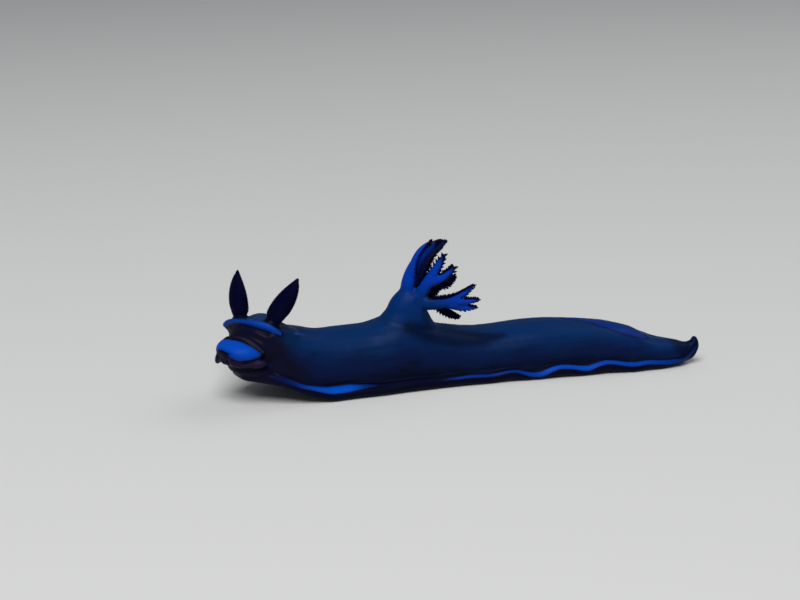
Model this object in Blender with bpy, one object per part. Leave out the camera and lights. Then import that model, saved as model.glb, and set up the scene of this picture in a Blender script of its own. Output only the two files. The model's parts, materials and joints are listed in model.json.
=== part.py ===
"""A gloomy nudibranch, life size: a dark sea slug crawling on its flat foot, with its head raised and
turned to its left, two rhinophores on the head and a plume of five branched gills on the back.

The frame: +Z is up, the sole rests on Z = 0, the tail points to +X and the animal's left side is -Y.
The body is a loft of slug-shaped sections along a bent midline, parted into named lengths by narrow
gaps. The head, rhinophores, oral tentacles and gills are fused from eggs, limbs and small leaves."""

import math
import random
from collections import namedtuple

import bmesh
import bpy
from mathutils import Matrix, Vector

MM = 0.001
GAP = 0.3 * MM
UP = Vector((0, 0, 1))

# The stations of the body from the tail to the face, in millimetres: place of the midline, lift of the
# sole off the ground, half width of the flanks, height of the back and half width of the foot.
Station = namedtuple("Station", "x y lift flank back foot")
STATIONS = tuple(
    Station(*(value * MM for value in row))
    for row in (
        (30.2, -4.6, 0.0, 1.0, 3.0, 1.6),
        (28.0, -3.8, 0.0, 2.0, 3.6, 2.7),
        (24.5, -2.8, 0.0, 3.0, 4.5, 3.8),
        (19.0, -1.5, 0.0, 3.9, 5.8, 4.8),
        (11.0, -0.5, 0.0, 4.4, 6.6, 5.5),
        (3.0, 0.0, 0.0, 4.6, 6.2, 5.7),
        (-2.5, 0.0, 0.0, 4.6, 7.0, 5.7),
        (-8.0, -0.1, 0.0, 4.7, 8.9, 5.9),
        (-13.0, -0.2, 0.0, 4.6, 8.1, 6.2),
        (-18.0, -0.5, 0.0, 4.5, 7.75, 6.2),
        (-22.0, -1.0, 0.8, 4.3, 7.8, 5.7),
        (-25.0, -1.7, 2.0, 4.2, 7.6, 5.0),
        (-27.5, -2.7, 2.7, 3.9, 7.2, 4.3),
        (-29.3, -3.7, 2.9, 3.2, 6.2, 3.6),
    )
)

# Where the body is parted, from the tail forwards, and how far apart its rings are.
TAIL_CUT = 23.0 * MM
REAR_CUT = 1.5 * MM
NECK_CUT = -15.5 * MM
HEAD_CUT = -22.0 * MM
RING_STEP = 1.7 * MM

# The end of the tail: how far it reaches past the last station, and how its keel and its tip rise.
TAIL_SWEEP = Vector((1.4, -0.35, 0)) * MM
TAIL_RISE = 2.7 * MM
TAIL_TIP = 0.5 * MM

FOOT_THICKNESS = 1.7 * MM
SOLE_INSET = 1.0 * MM
RIPPLE = 0.4 * MM
RIPPLE_LENGTH = 6.8 * MM
RIPPLE_CREST = 12.8 * MM
FAR_SIDE_SHIFT = 2.6 * MM
NOTAL_RIDGE = 0.28 * MM
RIDGE_ANGLE = math.radians(52)
RIDGE_SPREAD = math.radians(13)
FLANK_SIDES = 16

HEAD_CENTRE = Vector((-26.3, -1.7, 7.0)) * MM
HEAD_YAW = math.radians(36)
HEAD_ROLL = math.radians(2.2)
FORWARD = Vector((-math.cos(HEAD_YAW), -math.sin(HEAD_YAW), 0))
LEFT = UP.cross(FORWARD) * math.cos(HEAD_ROLL) + UP * math.sin(HEAD_ROLL)
CROWN = FORWARD.cross(LEFT)

# The head's forms, as centre and radii in millimetres forwards, to its left, and up.
SKULL = (0.1, 0.0, 0.3), (3.3, 4.2, 3.4)
BROW = (0.9, 0.0, 3.05), (2.75, 4.75, 0.85)
BROW_DROOP = 1.0 * MM
SNOUT = (3.1, 0.0, 0.1), (3.1, 3.3, 1.6)
LIP = (4.9, 0.75, -0.8), (1.0, 0.85, 0.75)
MOUTH = (5.9, 0.0, -0.8), (0.9, 0.22, 0.9)

# An oral tentacle's root, pull and tip along the same directions, and the share of it that the head keeps.
TENTACLE = (2.4, 2.0, -0.5), (4.1, 3.5, -0.8), (4.3, 2.7, -2.3)
TENTACLE_CUT = 0.45
TENTACLE_TAPER = (2.7, 1.5), (1.2, 0.8)

RHINOPHORE_ROOT = (0.6, 2.5, 2.2)
RHINOPHORE_REACH = (-2.75, 2.75, 6.4)
RHINOPHORE_BEND = 0.3 * MM
SHEATH_END = 0.2
SHEATH_TAPER = (2.3, 2.1), (1.1, 0.9)
CLUB_WIDTH = 3.1 * MM
CLUB_DEPTH = 2.3 * MM
CLUB_CORE = 0.84
LAMELLAE = 10
LAMELLA_THICKNESS = 0.3 * MM
LAMELLA_SLANT = math.radians(-28)

GILL_CENTRE = Vector((-6.4, -0.1, 9.5)) * MM
# The mound on the back and the plume's trunk as level ellipses, in millimetres: how far behind the
# gill's centre, half length, half width and height.
MOUND = (-0.8, 4.6, 3.2, -3.0), (-0.8, 3.7, 2.7, -1.7), (-0.75, 3.1, 2.35, -0.8), (-0.7, 2.8, 2.2, -0.15)
STALK = (-0.7, 2.7, 2.15, 0.15), (-0.4, 2.4, 2.0, 0.9), (0.0, 2.15, 1.9, 1.6), (0.3, 1.7, 1.6, 2.3)
STALK_SIDES = 20
PLUME_HEART = (3.2, 0.0, 4.2)

# The gill branches in millimetres from the gill's centre: backwards, to the animal's left, and up.
# Each has a main curve and the forks that leave it, all as root, pull and tip.
BRANCHES = {
    "gill_front": (
        ((-0.6, 0.0, 1.6), (-1.5, 0.0, 6.6), (4.3, 0.1, 8.7)),
        ((0.1, 0.4, 6.0), (0.5, 0.5, 8.0), (2.1, 0.6, 8.6)),
    ),
    "gill_left_fore": (
        ((0.7, 0.9, 1.4), (2.2, 1.9, 4.4), (3.7, 2.8, 7.6)),
        ((2.0, 1.7, 4.1), (3.4, 2.8, 4.7), (4.8, 3.2, 6.0)),
    ),
    "gill_right_fore": (
        ((0.6, -0.9, 1.4), (1.2, -2.2, 5.2), (3.5, -3.0, 7.9)),
        ((1.5, -1.8, 4.1), (2.6, -2.9, 5.2), (3.6, -3.3, 6.5)),
    ),
    "gill_left_rear": (
        ((1.3, 1.4, 0.9), (4.4, 3.2, 0.6), (7.3, 4.3, 3.4)),
        ((4.4, 2.9, 1.4), (6.2, 4.2, 1.2), (7.6, 4.6, 1.7)),
        ((4.0, 2.7, 1.2), (5.8, 3.7, -0.1), (7.5, 4.1, 0.3)),
    ),
    "gill_right_rear": (
        ((1.3, -1.4, 0.9), (4.2, -3.0, 0.8), (6.9, -4.4, 3.8)),
        ((4.1, -2.7, 1.5), (6.0, -4.0, 1.4), (7.5, -4.9, 2.2)),
        ((3.0, -1.9, 0.9), (4.4, -1.2, -1.6), (6.9, -0.9, -2.2)),
    ),
}
BRANCH_ROOT = 0.12
RACHIS_TAPER = (1.9, 1.35), (0.65, 0.55)
FORK_TAPER = (1.25, 0.95), (0.65, 0.55)
PINNULE_LENGTH = 1.5 * MM
PINNULE_WIDTH = 0.55 * MM
PINNULE_DEPTH = 0.45 * MM
PINNULE_PITCH = 0.8 * MM
PINNULE_SPREAD = 0.2

# The anal papilla's root, pull and tip in the gill's directions.
PAPILLA = (0.9, 0.0, 2.3), (1.1, 0.0, 2.9), (1.7, 0.0, 3.5)
PAPILLA_TAPER = (1.0, 1.0), (0.7, 0.7)

SKIN = ("dark_skin", (0.006, 0.016, 0.055), 0.42)
FOOT_SKIN = ("foot_skin", (0.004, 0.05, 0.30), 0.42)
CLUB_SKIN = ("club_skin", (0.006, 0.004, 0.018), 0.5)
GILL_SKIN = ("gill_skin", (0.004, 0.04, 0.26), 0.4)

PARTS = "gloomy_nudibranch"


def clear_scene():
    for thing in list(bpy.data.objects):
        bpy.data.objects.remove(thing)
    bpy.context.scene.collection.children.link(bpy.data.collections.new(PARTS))


def finish_of(name, colour, roughness):
    """The Principled material of that name, made at its first use."""
    found = bpy.data.materials.get(name)
    if found:
        return found
    made = bpy.data.materials.new(name)
    made.use_nodes = True
    shader = made.node_tree.nodes["Principled BSDF"]
    shader.inputs["Base Color"].default_value = (*colour, 1)
    shader.inputs["Roughness"].default_value = roughness
    shader.inputs["Metallic"].default_value = 0
    return made


def smoothly(x, column):
    """One column of the stations at x, along a curve that goes through them and never overshoots."""
    xs = [station.x for station in STATIONS]
    values = [getattr(station, column) for station in STATIONS]
    x = min(max(x, xs[-1]), xs[0])
    slopes = [(b - a) / (xb - xa) for a, b, xa, xb in zip(values, values[1:], xs, xs[1:])]
    ends = [slopes[0]]
    for before, after in zip(slopes, slopes[1:]):
        rising = before * after > 0
        ends.append(2 * before * after / (before + after) if rising else 0.0)
    ends.append(slopes[-1])
    i = next(k for k in range(len(xs) - 1) if x >= xs[k + 1])
    span = xs[i + 1] - xs[i]
    t = (x - xs[i]) / span
    return (
        (1 + 2 * t) * (1 - t) ** 2 * values[i]
        + t * (1 - t) ** 2 * span * ends[i]
        + t * t * (3 - 2 * t) * values[i + 1]
        - t * t * (1 - t) * span * ends[i + 1]
    )


def station_at(x):
    return Station(x, *(smoothly(x, column) for column in Station._fields[1:]))


def placed(x, outline):
    """An outline of (distance to the right, height) pairs, set square to the midline at x."""
    here = station_at(x)
    step = 0.5 * MM
    run = Vector((2 * step, smoothly(x + step, "y") - smoothly(x - step, "y"), 0)).normalized()
    right = UP.cross(run)
    base = Vector((x, here.y, here.lift))
    return [base + right * across + UP * height for across, height in outline]


def ripple(x, side):
    """Rise of the foot's edge at x: the margin lies in soft waves, and more so towards the tail."""
    shift = FAR_SIDE_SHIFT if side > 0 else 0.0
    share = min(1.0, max(0.3, (x + 6 * MM) / (14 * MM)))
    return RIPPLE * share * math.cos(2 * math.pi * (x - RIPPLE_CREST - shift) / RIPPLE_LENGTH)


def flank_outline(here, floor):
    """The back and both flanks from the right floor edge to the left one, above the height given."""
    rear = min(1.0, max(0.0, (here.x - 4 * MM) / (10 * MM)))
    points = []
    for i in range(FLANK_SIDES + 1):
        angle = math.pi * i / FLANK_SIDES
        across = math.copysign(abs(math.cos(angle)) ** 0.8, math.cos(angle))
        height = max(math.sin(angle), 0.0) ** 0.92
        fold = min(angle, math.pi - angle) - RIDGE_ANGLE
        swell = 1 + rear * NOTAL_RIDGE / here.back * math.exp(-((fold / RIDGE_SPREAD) ** 2))
        points.append((here.flank * across * swell, floor + (here.back - floor) * height * swell))
    return points


def foot_side(here, x, side):
    """Half of the foot's outline, from the sole's edge up to the crease below the flank."""
    wave = ripple(x, side)
    rim = here.foot
    crease = here.flank + 0.05 * MM
    shelf = max(rim - crease, 0.4 * MM)
    return [
        (side * (rim - SOLE_INSET), 0.0),
        (side * (rim - 0.3 * MM), 0.2 * MM + 0.3 * max(wave, 0)),
        (side * rim, 0.6 * MM + 0.8 * wave),
        (side * (rim - 0.2 * shelf), 1.1 * MM + wave),
        (side * (rim - 0.6 * shelf), 1.5 * MM + 0.6 * wave),
        (side * crease, FOOT_THICKNESS),
    ]


def foot_outline(here, x):
    return foot_side(here, x, 1) + foot_side(here, x, -1)[::-1]


def add_object(name, form, finish):
    """Turns a bmesh into a smooth object of that name, with its finish, among the parts."""
    mesh = bpy.data.meshes.new(name)
    form.to_mesh(mesh)
    form.free()
    mesh.shade_smooth()
    mesh.materials.append(finish_of(*finish))
    made = bpy.data.objects.new(name, mesh)
    bpy.data.collections[PARTS].objects.link(made)
    return made


def loft(name, rings, finish, tip=None):
    """A closed loft through rings of equal length, with flat ends or a pointed last end."""
    form = bmesh.new()
    loops = [[form.verts.new(point) for point in ring] for ring in rings]
    for low, high in zip(loops, loops[1:]):
        for i, corner in enumerate(low):
            beyond = (i + 1) % len(low)
            form.faces.new((corner, low[beyond], high[beyond], high[i]))
    form.faces.new(loops[0][::-1])
    if tip is None:
        form.faces.new(loops[-1])
    else:
        point = form.verts.new(tip)
        for i, corner in enumerate(loops[-1]):
            form.faces.new((corner, loops[-1][(i + 1) % len(loops[-1])], point))
    bmesh.ops.recalc_face_normals(form, faces=form.faces)
    return add_object(name, form, finish)


def egg(name, place, radii, finish, segments=20, rings=12, droop=0.0):
    """An ellipsoid with its radii along the place's own axes. The droop lowers both its far sides."""
    form = bmesh.new()
    bmesh.ops.create_uvsphere(form, u_segments=segments, v_segments=rings, radius=1.0)
    for corner in form.verts:
        across = corner.co.y
        corner.co = Vector([share * radius for share, radius in zip(corner.co, radii)])
        corner.co.z -= droop * across * across
    bmesh.ops.transform(form, matrix=place, verts=form.verts)
    return add_object(name, form, finish)


def boolean(target, others, operation):
    """Joins the others to the target or cuts them from it, and keeps the largest closed surface."""
    group = bpy.data.collections.new(operation.lower())
    bpy.context.scene.collection.children.link(group)
    for other in others:
        bpy.data.collections[PARTS].objects.unlink(other)
        group.objects.link(other)
    step = target.modifiers.new(operation.lower(), "BOOLEAN")
    step.operation = operation
    step.solver = "MANIFOLD"
    step.operand_type = "COLLECTION"
    step.collection = group
    graph = bpy.context.evaluated_depsgraph_get()
    joined = bpy.data.meshes.new_from_object(target.evaluated_get(graph))
    target.modifiers.clear()
    target.data = joined
    for other in list(group.objects):
        bpy.data.objects.remove(other)
    bpy.data.collections.remove(group)
    keep_largest(target)
    return target


def volume_of(faces):
    """Three times the volume that these faces enclose."""
    return sum(face.calc_area() * face.normal.dot(face.calc_center_median()) for face in faces)


def keep_largest(target):
    """Drops every closed surface of the mesh but the one with the most volume."""
    form = bmesh.new()
    form.from_mesh(target.data)
    shells = []
    left = set(form.faces)
    while left:
        shell = set()
        queue = [left.pop()]
        while queue:
            face = queue.pop()
            shell.add(face)
            for edge in face.edges:
                fresh = [other for other in edge.link_faces if other in left]
                left.difference_update(fresh)
                queue.extend(fresh)
        shells.append(shell)
    largest = max(shells, key=volume_of)
    scraps = [face for shell in shells if shell is not largest for face in shell]
    bmesh.ops.delete(form, geom=scraps, context="FACES")
    form.to_mesh(target.data)
    form.free()


def on_curve(points, t):
    """A point on the quadratic curve from the first point to the last, pulled towards the middle one."""
    start, pull, end = points
    return start * (1 - t) ** 2 + pull * 2 * t * (1 - t) + end * t * t


def run_of(points, t):
    start, pull, end = points
    return ((pull - start) * (1 - t) + (end - pull) * t).normalized()


def oval(points, t, outward, width, depth, sides):
    """An oval ring across a limb, with its broad faces turned outward and inward."""
    run = run_of(points, t)
    across = run.cross(outward).normalized()
    out = across.cross(run)
    centre = on_curve(points, t)
    ring = []
    for i in range(sides):
        angle = 2 * math.pi * i / sides
        ring.append(centre + across * (width / 2 * math.cos(angle)) + out * (depth / 2 * math.sin(angle)))
    return ring


def limb(name, points, outward, size, finish, span=(0.0, 1.0), steps=8, sides=10, pointed=True):
    """A limb along a quadratic curve. size gives its width and depth at each share of its length."""
    start, end = span
    rings = []
    for i in range(steps + (0 if pointed else 1)):
        t = start + (end - start) * i / steps
        rings.append(oval(points, t, outward, *size(t), sides))
    tip = on_curve(points, end) if pointed else None
    return loft(name, rings, finish, tip)


def tapered(root, tip):
    """Width and depth at each share of a limb's length, from those at its root to those at its tip."""
    def size(t):
        return tuple((first + (last - first) * t) * MM for first, last in zip(root, tip))

    return size


def places(tail_end, head_end):
    """Evenly spaced ring places of one length of the body, with half a gap kept free at both ends."""
    first, last = tail_end - GAP / 2, head_end + GAP / 2
    count = max(2, round((first - last) / RING_STEP))
    return [first + (last - first) * i / count for i in range(count + 1)]


def body_length(name, tail_end, head_end):
    """One length of the trunk above the foot."""
    floor = FOOT_THICKNESS + GAP
    rings = [placed(x, flank_outline(station_at(x), floor)) for x in places(tail_end, head_end)]
    return loft(name, rings, SKIN)


def foot_length(name, tail_end, head_end):
    """One length of the foot, the flat sole with its rippled lip."""
    rings = [placed(x, foot_outline(station_at(x), x)) for x in places(tail_end, head_end)]
    return loft(name, rings, FOOT_SKIN)


def make_foot_front():
    """The front of the foot, raised under the head and rounded off at its front margin."""
    start = NECK_CUT - GAP / 2
    reach = STATIONS[-1].x - start
    rings = []
    for i in range(13):
        share = math.sin(math.pi / 2 * i / 12)
        x = start + reach * share
        here = station_at(x)
        narrow = math.sqrt(1 - (0.96 * max(0.0, (share - 0.75) / 0.25)) ** 2)
        rounded = here._replace(foot=here.foot * narrow, flank=here.flank * narrow)
        rings.append(placed(x, foot_outline(rounded, x)))
    return loft("foot_front", rings, FOOT_SKIN)


def make_tail():
    """The tail with its own stretch of foot, ending in a blunt tip that curls up."""
    rings = []
    first = TAIL_CUT + GAP / 2
    for i in range(7):
        x = first + (STATIONS[0].x - first) * i / 6
        here = station_at(x)
        back = flank_outline(here, FOOT_THICKNESS)
        outline = foot_side(here, x, 1)[:-1] + back + foot_side(here, x, -1)[-2::-1]
        rings.append(placed(x, outline))
    rings += bow(rings[-1])
    return loft("tail", rings, SKIN)


def bow(last):
    """Rings that close the tail: the keel sweeps up from the ground to a blunt tip above the back."""
    middle = sum(last, Vector()) / len(last)
    height = max(point.z for point in last)
    rings = []
    turns = 6
    for i in range(1, turns + 1):
        turn = math.pi / 2 * i / turns
        forth = TAIL_SWEEP * math.sin(turn)
        keel = TAIL_RISE * (1 - math.cos(turn))
        crest = height + TAIL_TIP * (i / turns) ** 2
        narrow = 1 - 0.62 * (1 - math.cos(turn))
        ring = []
        for point in last:
            spread = (point.xy - middle.xy).to_3d() * narrow
            level = Vector((0, 0, keel + point.z / height * (crest - keel)))
            ring.append(middle.xy.to_3d() + forth + spread + level)
        rings.append(ring)
    return rings


def head_spot(forward, left, up):
    """A place given along the head's own directions from its centre, in millimetres."""
    return HEAD_CENTRE + (FORWARD * forward + LEFT * left + CROWN * up) * MM


def head_egg(name, centre, radii, **detail):
    turn = Matrix((FORWARD, LEFT, CROWN)).transposed().to_4x4()
    return egg(name, Matrix.Translation(head_spot(*centre)) @ turn, [r * MM for r in radii], SKIN, **detail)


def mirrored(spot, side):
    forward, left, up = spot
    return head_spot(forward, side * left, up)


def rhinophore_line(side):
    """Root, middle and tip of a rhinophore, which splays outwards and leans back."""
    root = mirrored(RHINOPHORE_ROOT, side)
    tip = mirrored([a + b for a, b in zip(RHINOPHORE_ROOT, RHINOPHORE_REACH)], side)
    return root, (root + tip) / 2 + FORWARD * RHINOPHORE_BEND, tip


def club_size(t):
    """Width and depth of a rhinophore: a short stalk, then a leaf-shaped club with a fine tip."""
    leaf = math.sin(math.pi * min(1.0, max(0.0, 0.22 + 0.78 * t)) ** 1.15) ** 0.8
    return max(CLUB_WIDTH * leaf, 0.35 * MM), max(CLUB_DEPTH * leaf, 0.35 * MM)


def core_size(t):
    """The club without its lamellae: full at the stalk and at the tip, slimmer between them."""
    share = CLUB_CORE + (1 - CLUB_CORE) * max(0.0, 1 - 6 * (t - SHEATH_END)) + 0.1 * max(0.0, t - 0.9)
    return tuple(size * share for size in club_size(t))


def lamella(points, t, side):
    """One leaf of the club: a thin lens across it, lower at its outer edge."""
    run = run_of(points, t)
    across = run.cross(FORWARD).normalized()
    turn = Matrix((across, run.cross(across), run)).transposed().to_4x4()
    tilt = Matrix.Rotation(LAMELLA_SLANT * side, 4, "Y")
    width, depth = club_size(t)
    radii = (width / 2 / math.cos(LAMELLA_SLANT), depth / 2, LAMELLA_THICKNESS / 2)
    place = Matrix.Translation(on_curve(points, t)) @ turn @ tilt
    return egg("lamella", place, radii, CLUB_SKIN, segments=12, rings=4)


def make_rhinophore(name, side):
    """The club with its lamellae, standing on the sheath of the head."""
    points = rhinophore_line(side)
    start = SHEATH_END + GAP / (points[2] - points[0]).length
    club = limb(name, points, FORWARD, core_size, CLUB_SKIN, (start, 1.0), steps=10, sides=12)
    leaves = [lamella(points, start + 0.14 + 0.58 * i / (LAMELLAE - 1), side) for i in range(LAMELLAE)]
    return boolean(club, leaves, "UNION")


def rhinophore_sheath(side):
    """The low collar that the rhinophore can draw into."""
    line, size, span = rhinophore_line(side), tapered(*SHEATH_TAPER), (0.0, SHEATH_END)
    return limb("sheath", line, FORWARD, size, SKIN, span, steps=2, sides=14, pointed=False)


def tentacle_line(side):
    """Root, middle and tip of an oral tentacle, a short flap beside the mouth."""
    return [mirrored(spot, side) for spot in TENTACLE]


def tentacle_face(side):
    """The direction that the broad side of an oral tentacle faces."""
    return (LEFT * side + CROWN * 0.3).normalized()


def make_tentacle(name, side):
    points, size = tentacle_line(side), tapered(*TENTACLE_TAPER)
    start = TENTACLE_CUT + GAP / (points[2] - points[0]).length
    return limb(name, points, tentacle_face(side), size, SKIN, (start, 1.0), steps=5, sides=12)


def tentacle_root(side):
    """The tentacle's first stretch, which grows from the side of the snout."""
    points, size, span = tentacle_line(side), tapered(*TENTACLE_TAPER), (0.0, TENTACLE_CUT)
    return limb("root", points, tentacle_face(side), size, SKIN, span, steps=3, sides=12, pointed=False)


def foot_clearance(start):
    """A slab from the start forwards whose top lies a gap above the foot, to trim the head's underside."""
    half, deep, floor = 9 * MM, -4 * MM, FOOT_THICKNESS + GAP
    corners = [(half, deep), (half, floor), (-half, floor), (-half, deep)]
    rings = [placed(start + 2 * MM, corners)]
    for i in range(8):
        rings.append(placed(start + (STATIONS[-1].x - start) * i / 7, corners))
    rings.append([corner + FORWARD * 6 * MM for corner in rings[-1]])
    return loft("clearance", rings, SKIN)


def make_head():
    """The head: skull, overhanging brow, snout with its lips, sheaths and the tentacles' roots."""
    start = HEAD_CUT - GAP / 2
    floor = FOOT_THICKNESS + GAP
    rings = []
    for i in range(4):
        x = start - 1.2 * MM * i
        rings.append(placed(x, flank_outline(station_at(x), floor)))
    nape = loft("head", rings, SKIN)
    pieces = [
        head_egg("skull", *SKULL, segments=24, rings=14),
        head_egg("brow", *BROW, segments=28, rings=8, droop=BROW_DROOP),
        head_egg("snout", *SNOUT),
    ]
    (forward, left, up), lip_radii = LIP
    for side in (1, -1):
        pieces.append(rhinophore_sheath(side))
        pieces.append(tentacle_root(side))
        pieces.append(head_egg("lip", (forward, side * left, up), lip_radii, segments=12, rings=8))
    boolean(nape, pieces, "UNION")
    mouth = head_egg("mouth", *MOUTH, segments=12, rings=8)
    return boolean(nape, [mouth, foot_clearance(start)], "DIFFERENCE")


def gill_spot(point):
    back, left, up = point
    return GILL_CENTRE + Vector((back, -left, up)) * MM


def gill_outward(points):
    """The outer side of a branch, away from the middle of the plume."""
    return ((points[0] + points[1]) / 2 - gill_spot(PLUME_HEART)).normalized()


def pinnule(root, direction, flat, length):
    """One leaflet of a gill: a short, pointed, four-sided blade."""
    across = direction.cross(flat).normalized()
    thick = across.cross(direction)
    rings = []
    for share, swell in ((0.0, 1.0), (0.55, 0.8)):
        middle = root + direction * length * share
        wide, deep = across * PINNULE_WIDTH / 2 * swell, thick * PINNULE_DEPTH / 2 * swell
        rings.append([middle + wide, middle + deep, middle - wide, middle - deep])
    return loft("pinnule", rings, GILL_SKIN, root + direction * length)


def fringe(points, outward, size, first, last, draw):
    """Two rows of pinnules along a limb, folded towards the inner side of the plume."""
    length = (points[1] - points[0]).length / 2 + (points[2] - points[0]).length / 2
    count = max(2, round(length * (last - first) / PINNULE_PITCH))
    leaves = []
    for i in range(count):
        for side in (1, -1):
            t = first + (last - first) * (i + 0.5 + 0.15 * side) / count
            run = run_of(points, t)
            across = run.cross(outward).normalized()
            out = across.cross(run)
            width, depth = size(t)
            root = on_curve(points, t) + across * (side * width * 0.22) - out * depth * 0.12
            lie = draw.uniform(-PINNULE_SPREAD, PINNULE_SPREAD)
            direction = (across * (side * 0.75) - out * (0.6 + lie) + run * (0.55 - lie)).normalized()
            reach = PINNULE_LENGTH * (1 - 0.45 * t) * draw.uniform(0.85, 1.1)
            leaves.append(pinnule(root, direction, run, width * 0.3 + reach))
    return leaves


def make_branch(name):
    """One gill: its rachis, its forks and their pinnules."""
    draw = random.Random(name)
    main, *forks = [[gill_spot(point) for point in points] for points in BRANCHES[name]]
    outward = gill_outward(main)
    rachis_size, fork_size = tapered(*RACHIS_TAPER), tapered(*FORK_TAPER)
    start = BRANCH_ROOT + GAP / (main[2] - main[0]).length
    rachis = limb(name, main, outward, rachis_size, GILL_SKIN, (start, 1.0), steps=8, sides=8)
    grown = fringe(main, outward, rachis_size, start + 0.12, 0.97, draw)
    for fork in forks:
        grown.append(limb("fork", fork, outward, fork_size, GILL_SKIN, steps=5, sides=8))
        grown += fringe(fork, outward, fork_size, 0.3, 0.95, draw)
    return boolean(rachis, grown, "UNION")


def ellipse(back, half_length, half_width, height):
    """A level ellipse round the gill's trunk."""
    ring = []
    for i in range(STALK_SIDES):
        angle = 2 * math.pi * i / STALK_SIDES
        ring.append(gill_spot((back + half_length * math.cos(angle), half_width * math.sin(angle), height)))
    return ring


def make_gill_stalk():
    """The trunk of the plume with the root of each branch."""
    stalk = loft("gill_stalk", [ellipse(*ring) for ring in STALK], GILL_SKIN)
    size, span = tapered(*RACHIS_TAPER), (0.0, BRANCH_ROOT)
    roots = []
    for main, *_ in BRANCHES.values():
        line = [gill_spot(point) for point in main]
        roots.append(limb("root", line, gill_outward(line), size, GILL_SKIN, span, 2, 8, pointed=False))
    return boolean(stalk, roots, "UNION")


def make_papilla():
    """The small tube in the middle of the plume where the gut ends."""
    line, size = [gill_spot(point) for point in PAPILLA], tapered(*PAPILLA_TAPER)
    start = GAP / (line[2] - line[0]).length
    return limb("anal_papilla", line, UP, size, SKIN, (start, 1.0), steps=4, sides=10, pointed=False)


def make_body_front():
    """The front of the trunk, with the mound that carries the gills."""
    trunk = body_length("body_front", REAR_CUT, NECK_CUT)
    return boolean(trunk, [loft("mound", [ellipse(*ring) for ring in MOUND], SKIN)], "UNION")


def stand_at_origin():
    """Moves everything so that the middle of the model's box is over the origin."""
    things = bpy.data.collections[PARTS].objects
    corners = [corner.co for thing in things for corner in thing.data.vertices]
    middle = [(min(values) + max(values)) / 2 for values in zip(*corners)]
    lowest = min(corner.z for corner in corners)
    shift = Matrix.Translation((-middle[0], -middle[1], -lowest))
    for thing in things:
        thing.data.transform(shift)
    return shift.translation


def main():
    clear_scene()
    make_head()
    for side, word in ((1, "left"), (-1, "right")):
        make_tentacle("oral_tentacle_" + word, side)
        make_rhinophore("rhinophore_" + word, side)
    body_length("neck", NECK_CUT, HEAD_CUT)
    make_body_front()
    body_length("body_rear", TAIL_CUT, REAR_CUT)
    make_tail()
    make_foot_front()
    foot_length("foot_middle", REAR_CUT, NECK_CUT)
    foot_length("foot_rear", TAIL_CUT, REAR_CUT)
    make_gill_stalk()
    make_papilla()
    for name in BRANCHES:
        make_branch(name)
    return stand_at_origin()


SHIFT = main()
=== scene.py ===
"""A gloomy nudibranch, life size, finished as a museum model: dark moist skin with its blue markings, a
plume of branched gills with fine pinnules, and two rhinophores with their lamellae."""

import json
import math
import random
from collections import namedtuple

import bpy
import numpy as np
from mathutils import Matrix, Vector, kdtree, noise

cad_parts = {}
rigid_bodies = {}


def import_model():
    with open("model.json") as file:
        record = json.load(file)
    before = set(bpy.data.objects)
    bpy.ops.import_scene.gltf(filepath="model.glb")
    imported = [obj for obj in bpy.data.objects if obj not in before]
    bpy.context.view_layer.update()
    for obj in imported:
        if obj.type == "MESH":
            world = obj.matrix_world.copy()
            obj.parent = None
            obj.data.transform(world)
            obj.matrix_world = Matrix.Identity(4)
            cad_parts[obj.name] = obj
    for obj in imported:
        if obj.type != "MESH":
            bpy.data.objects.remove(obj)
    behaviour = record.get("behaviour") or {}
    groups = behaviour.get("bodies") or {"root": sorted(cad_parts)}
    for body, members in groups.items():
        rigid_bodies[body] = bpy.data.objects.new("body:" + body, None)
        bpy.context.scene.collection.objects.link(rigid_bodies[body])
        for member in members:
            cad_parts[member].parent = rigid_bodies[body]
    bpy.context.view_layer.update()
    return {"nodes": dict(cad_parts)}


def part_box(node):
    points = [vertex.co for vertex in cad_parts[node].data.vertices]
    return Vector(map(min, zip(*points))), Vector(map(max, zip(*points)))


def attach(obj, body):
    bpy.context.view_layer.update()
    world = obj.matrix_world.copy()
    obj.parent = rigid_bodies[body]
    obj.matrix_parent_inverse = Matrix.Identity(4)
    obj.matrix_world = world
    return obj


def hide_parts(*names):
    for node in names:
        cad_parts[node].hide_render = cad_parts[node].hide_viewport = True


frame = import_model()

# The trunk and the foot. In life they are one soft sack of muscle on a flat crawling sole, whose edge
# lies in waves. Each is a sheet laid over cross sections of the body, rolled shut and closed at its ends.
# The sections are counted from where the foot stands under the middle of the animal.
MM = 0.001
STALK_TO_CENTRE = 3.4 * MM
GILL_CENTRE_AT = np.array((-6.4, -0.1, 9.5)) * MM
stalk_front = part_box("gill_stalk")[0].x
papilla_sides = [corner.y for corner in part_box("anal_papilla")]
gills_in_frame = stalk_front + STALK_TO_CENTRE, sum(papilla_sides) / 2, GILL_CENTRE_AT[2]
ORIGIN = np.array(gills_in_frame) - GILL_CENTRE_AT

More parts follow.
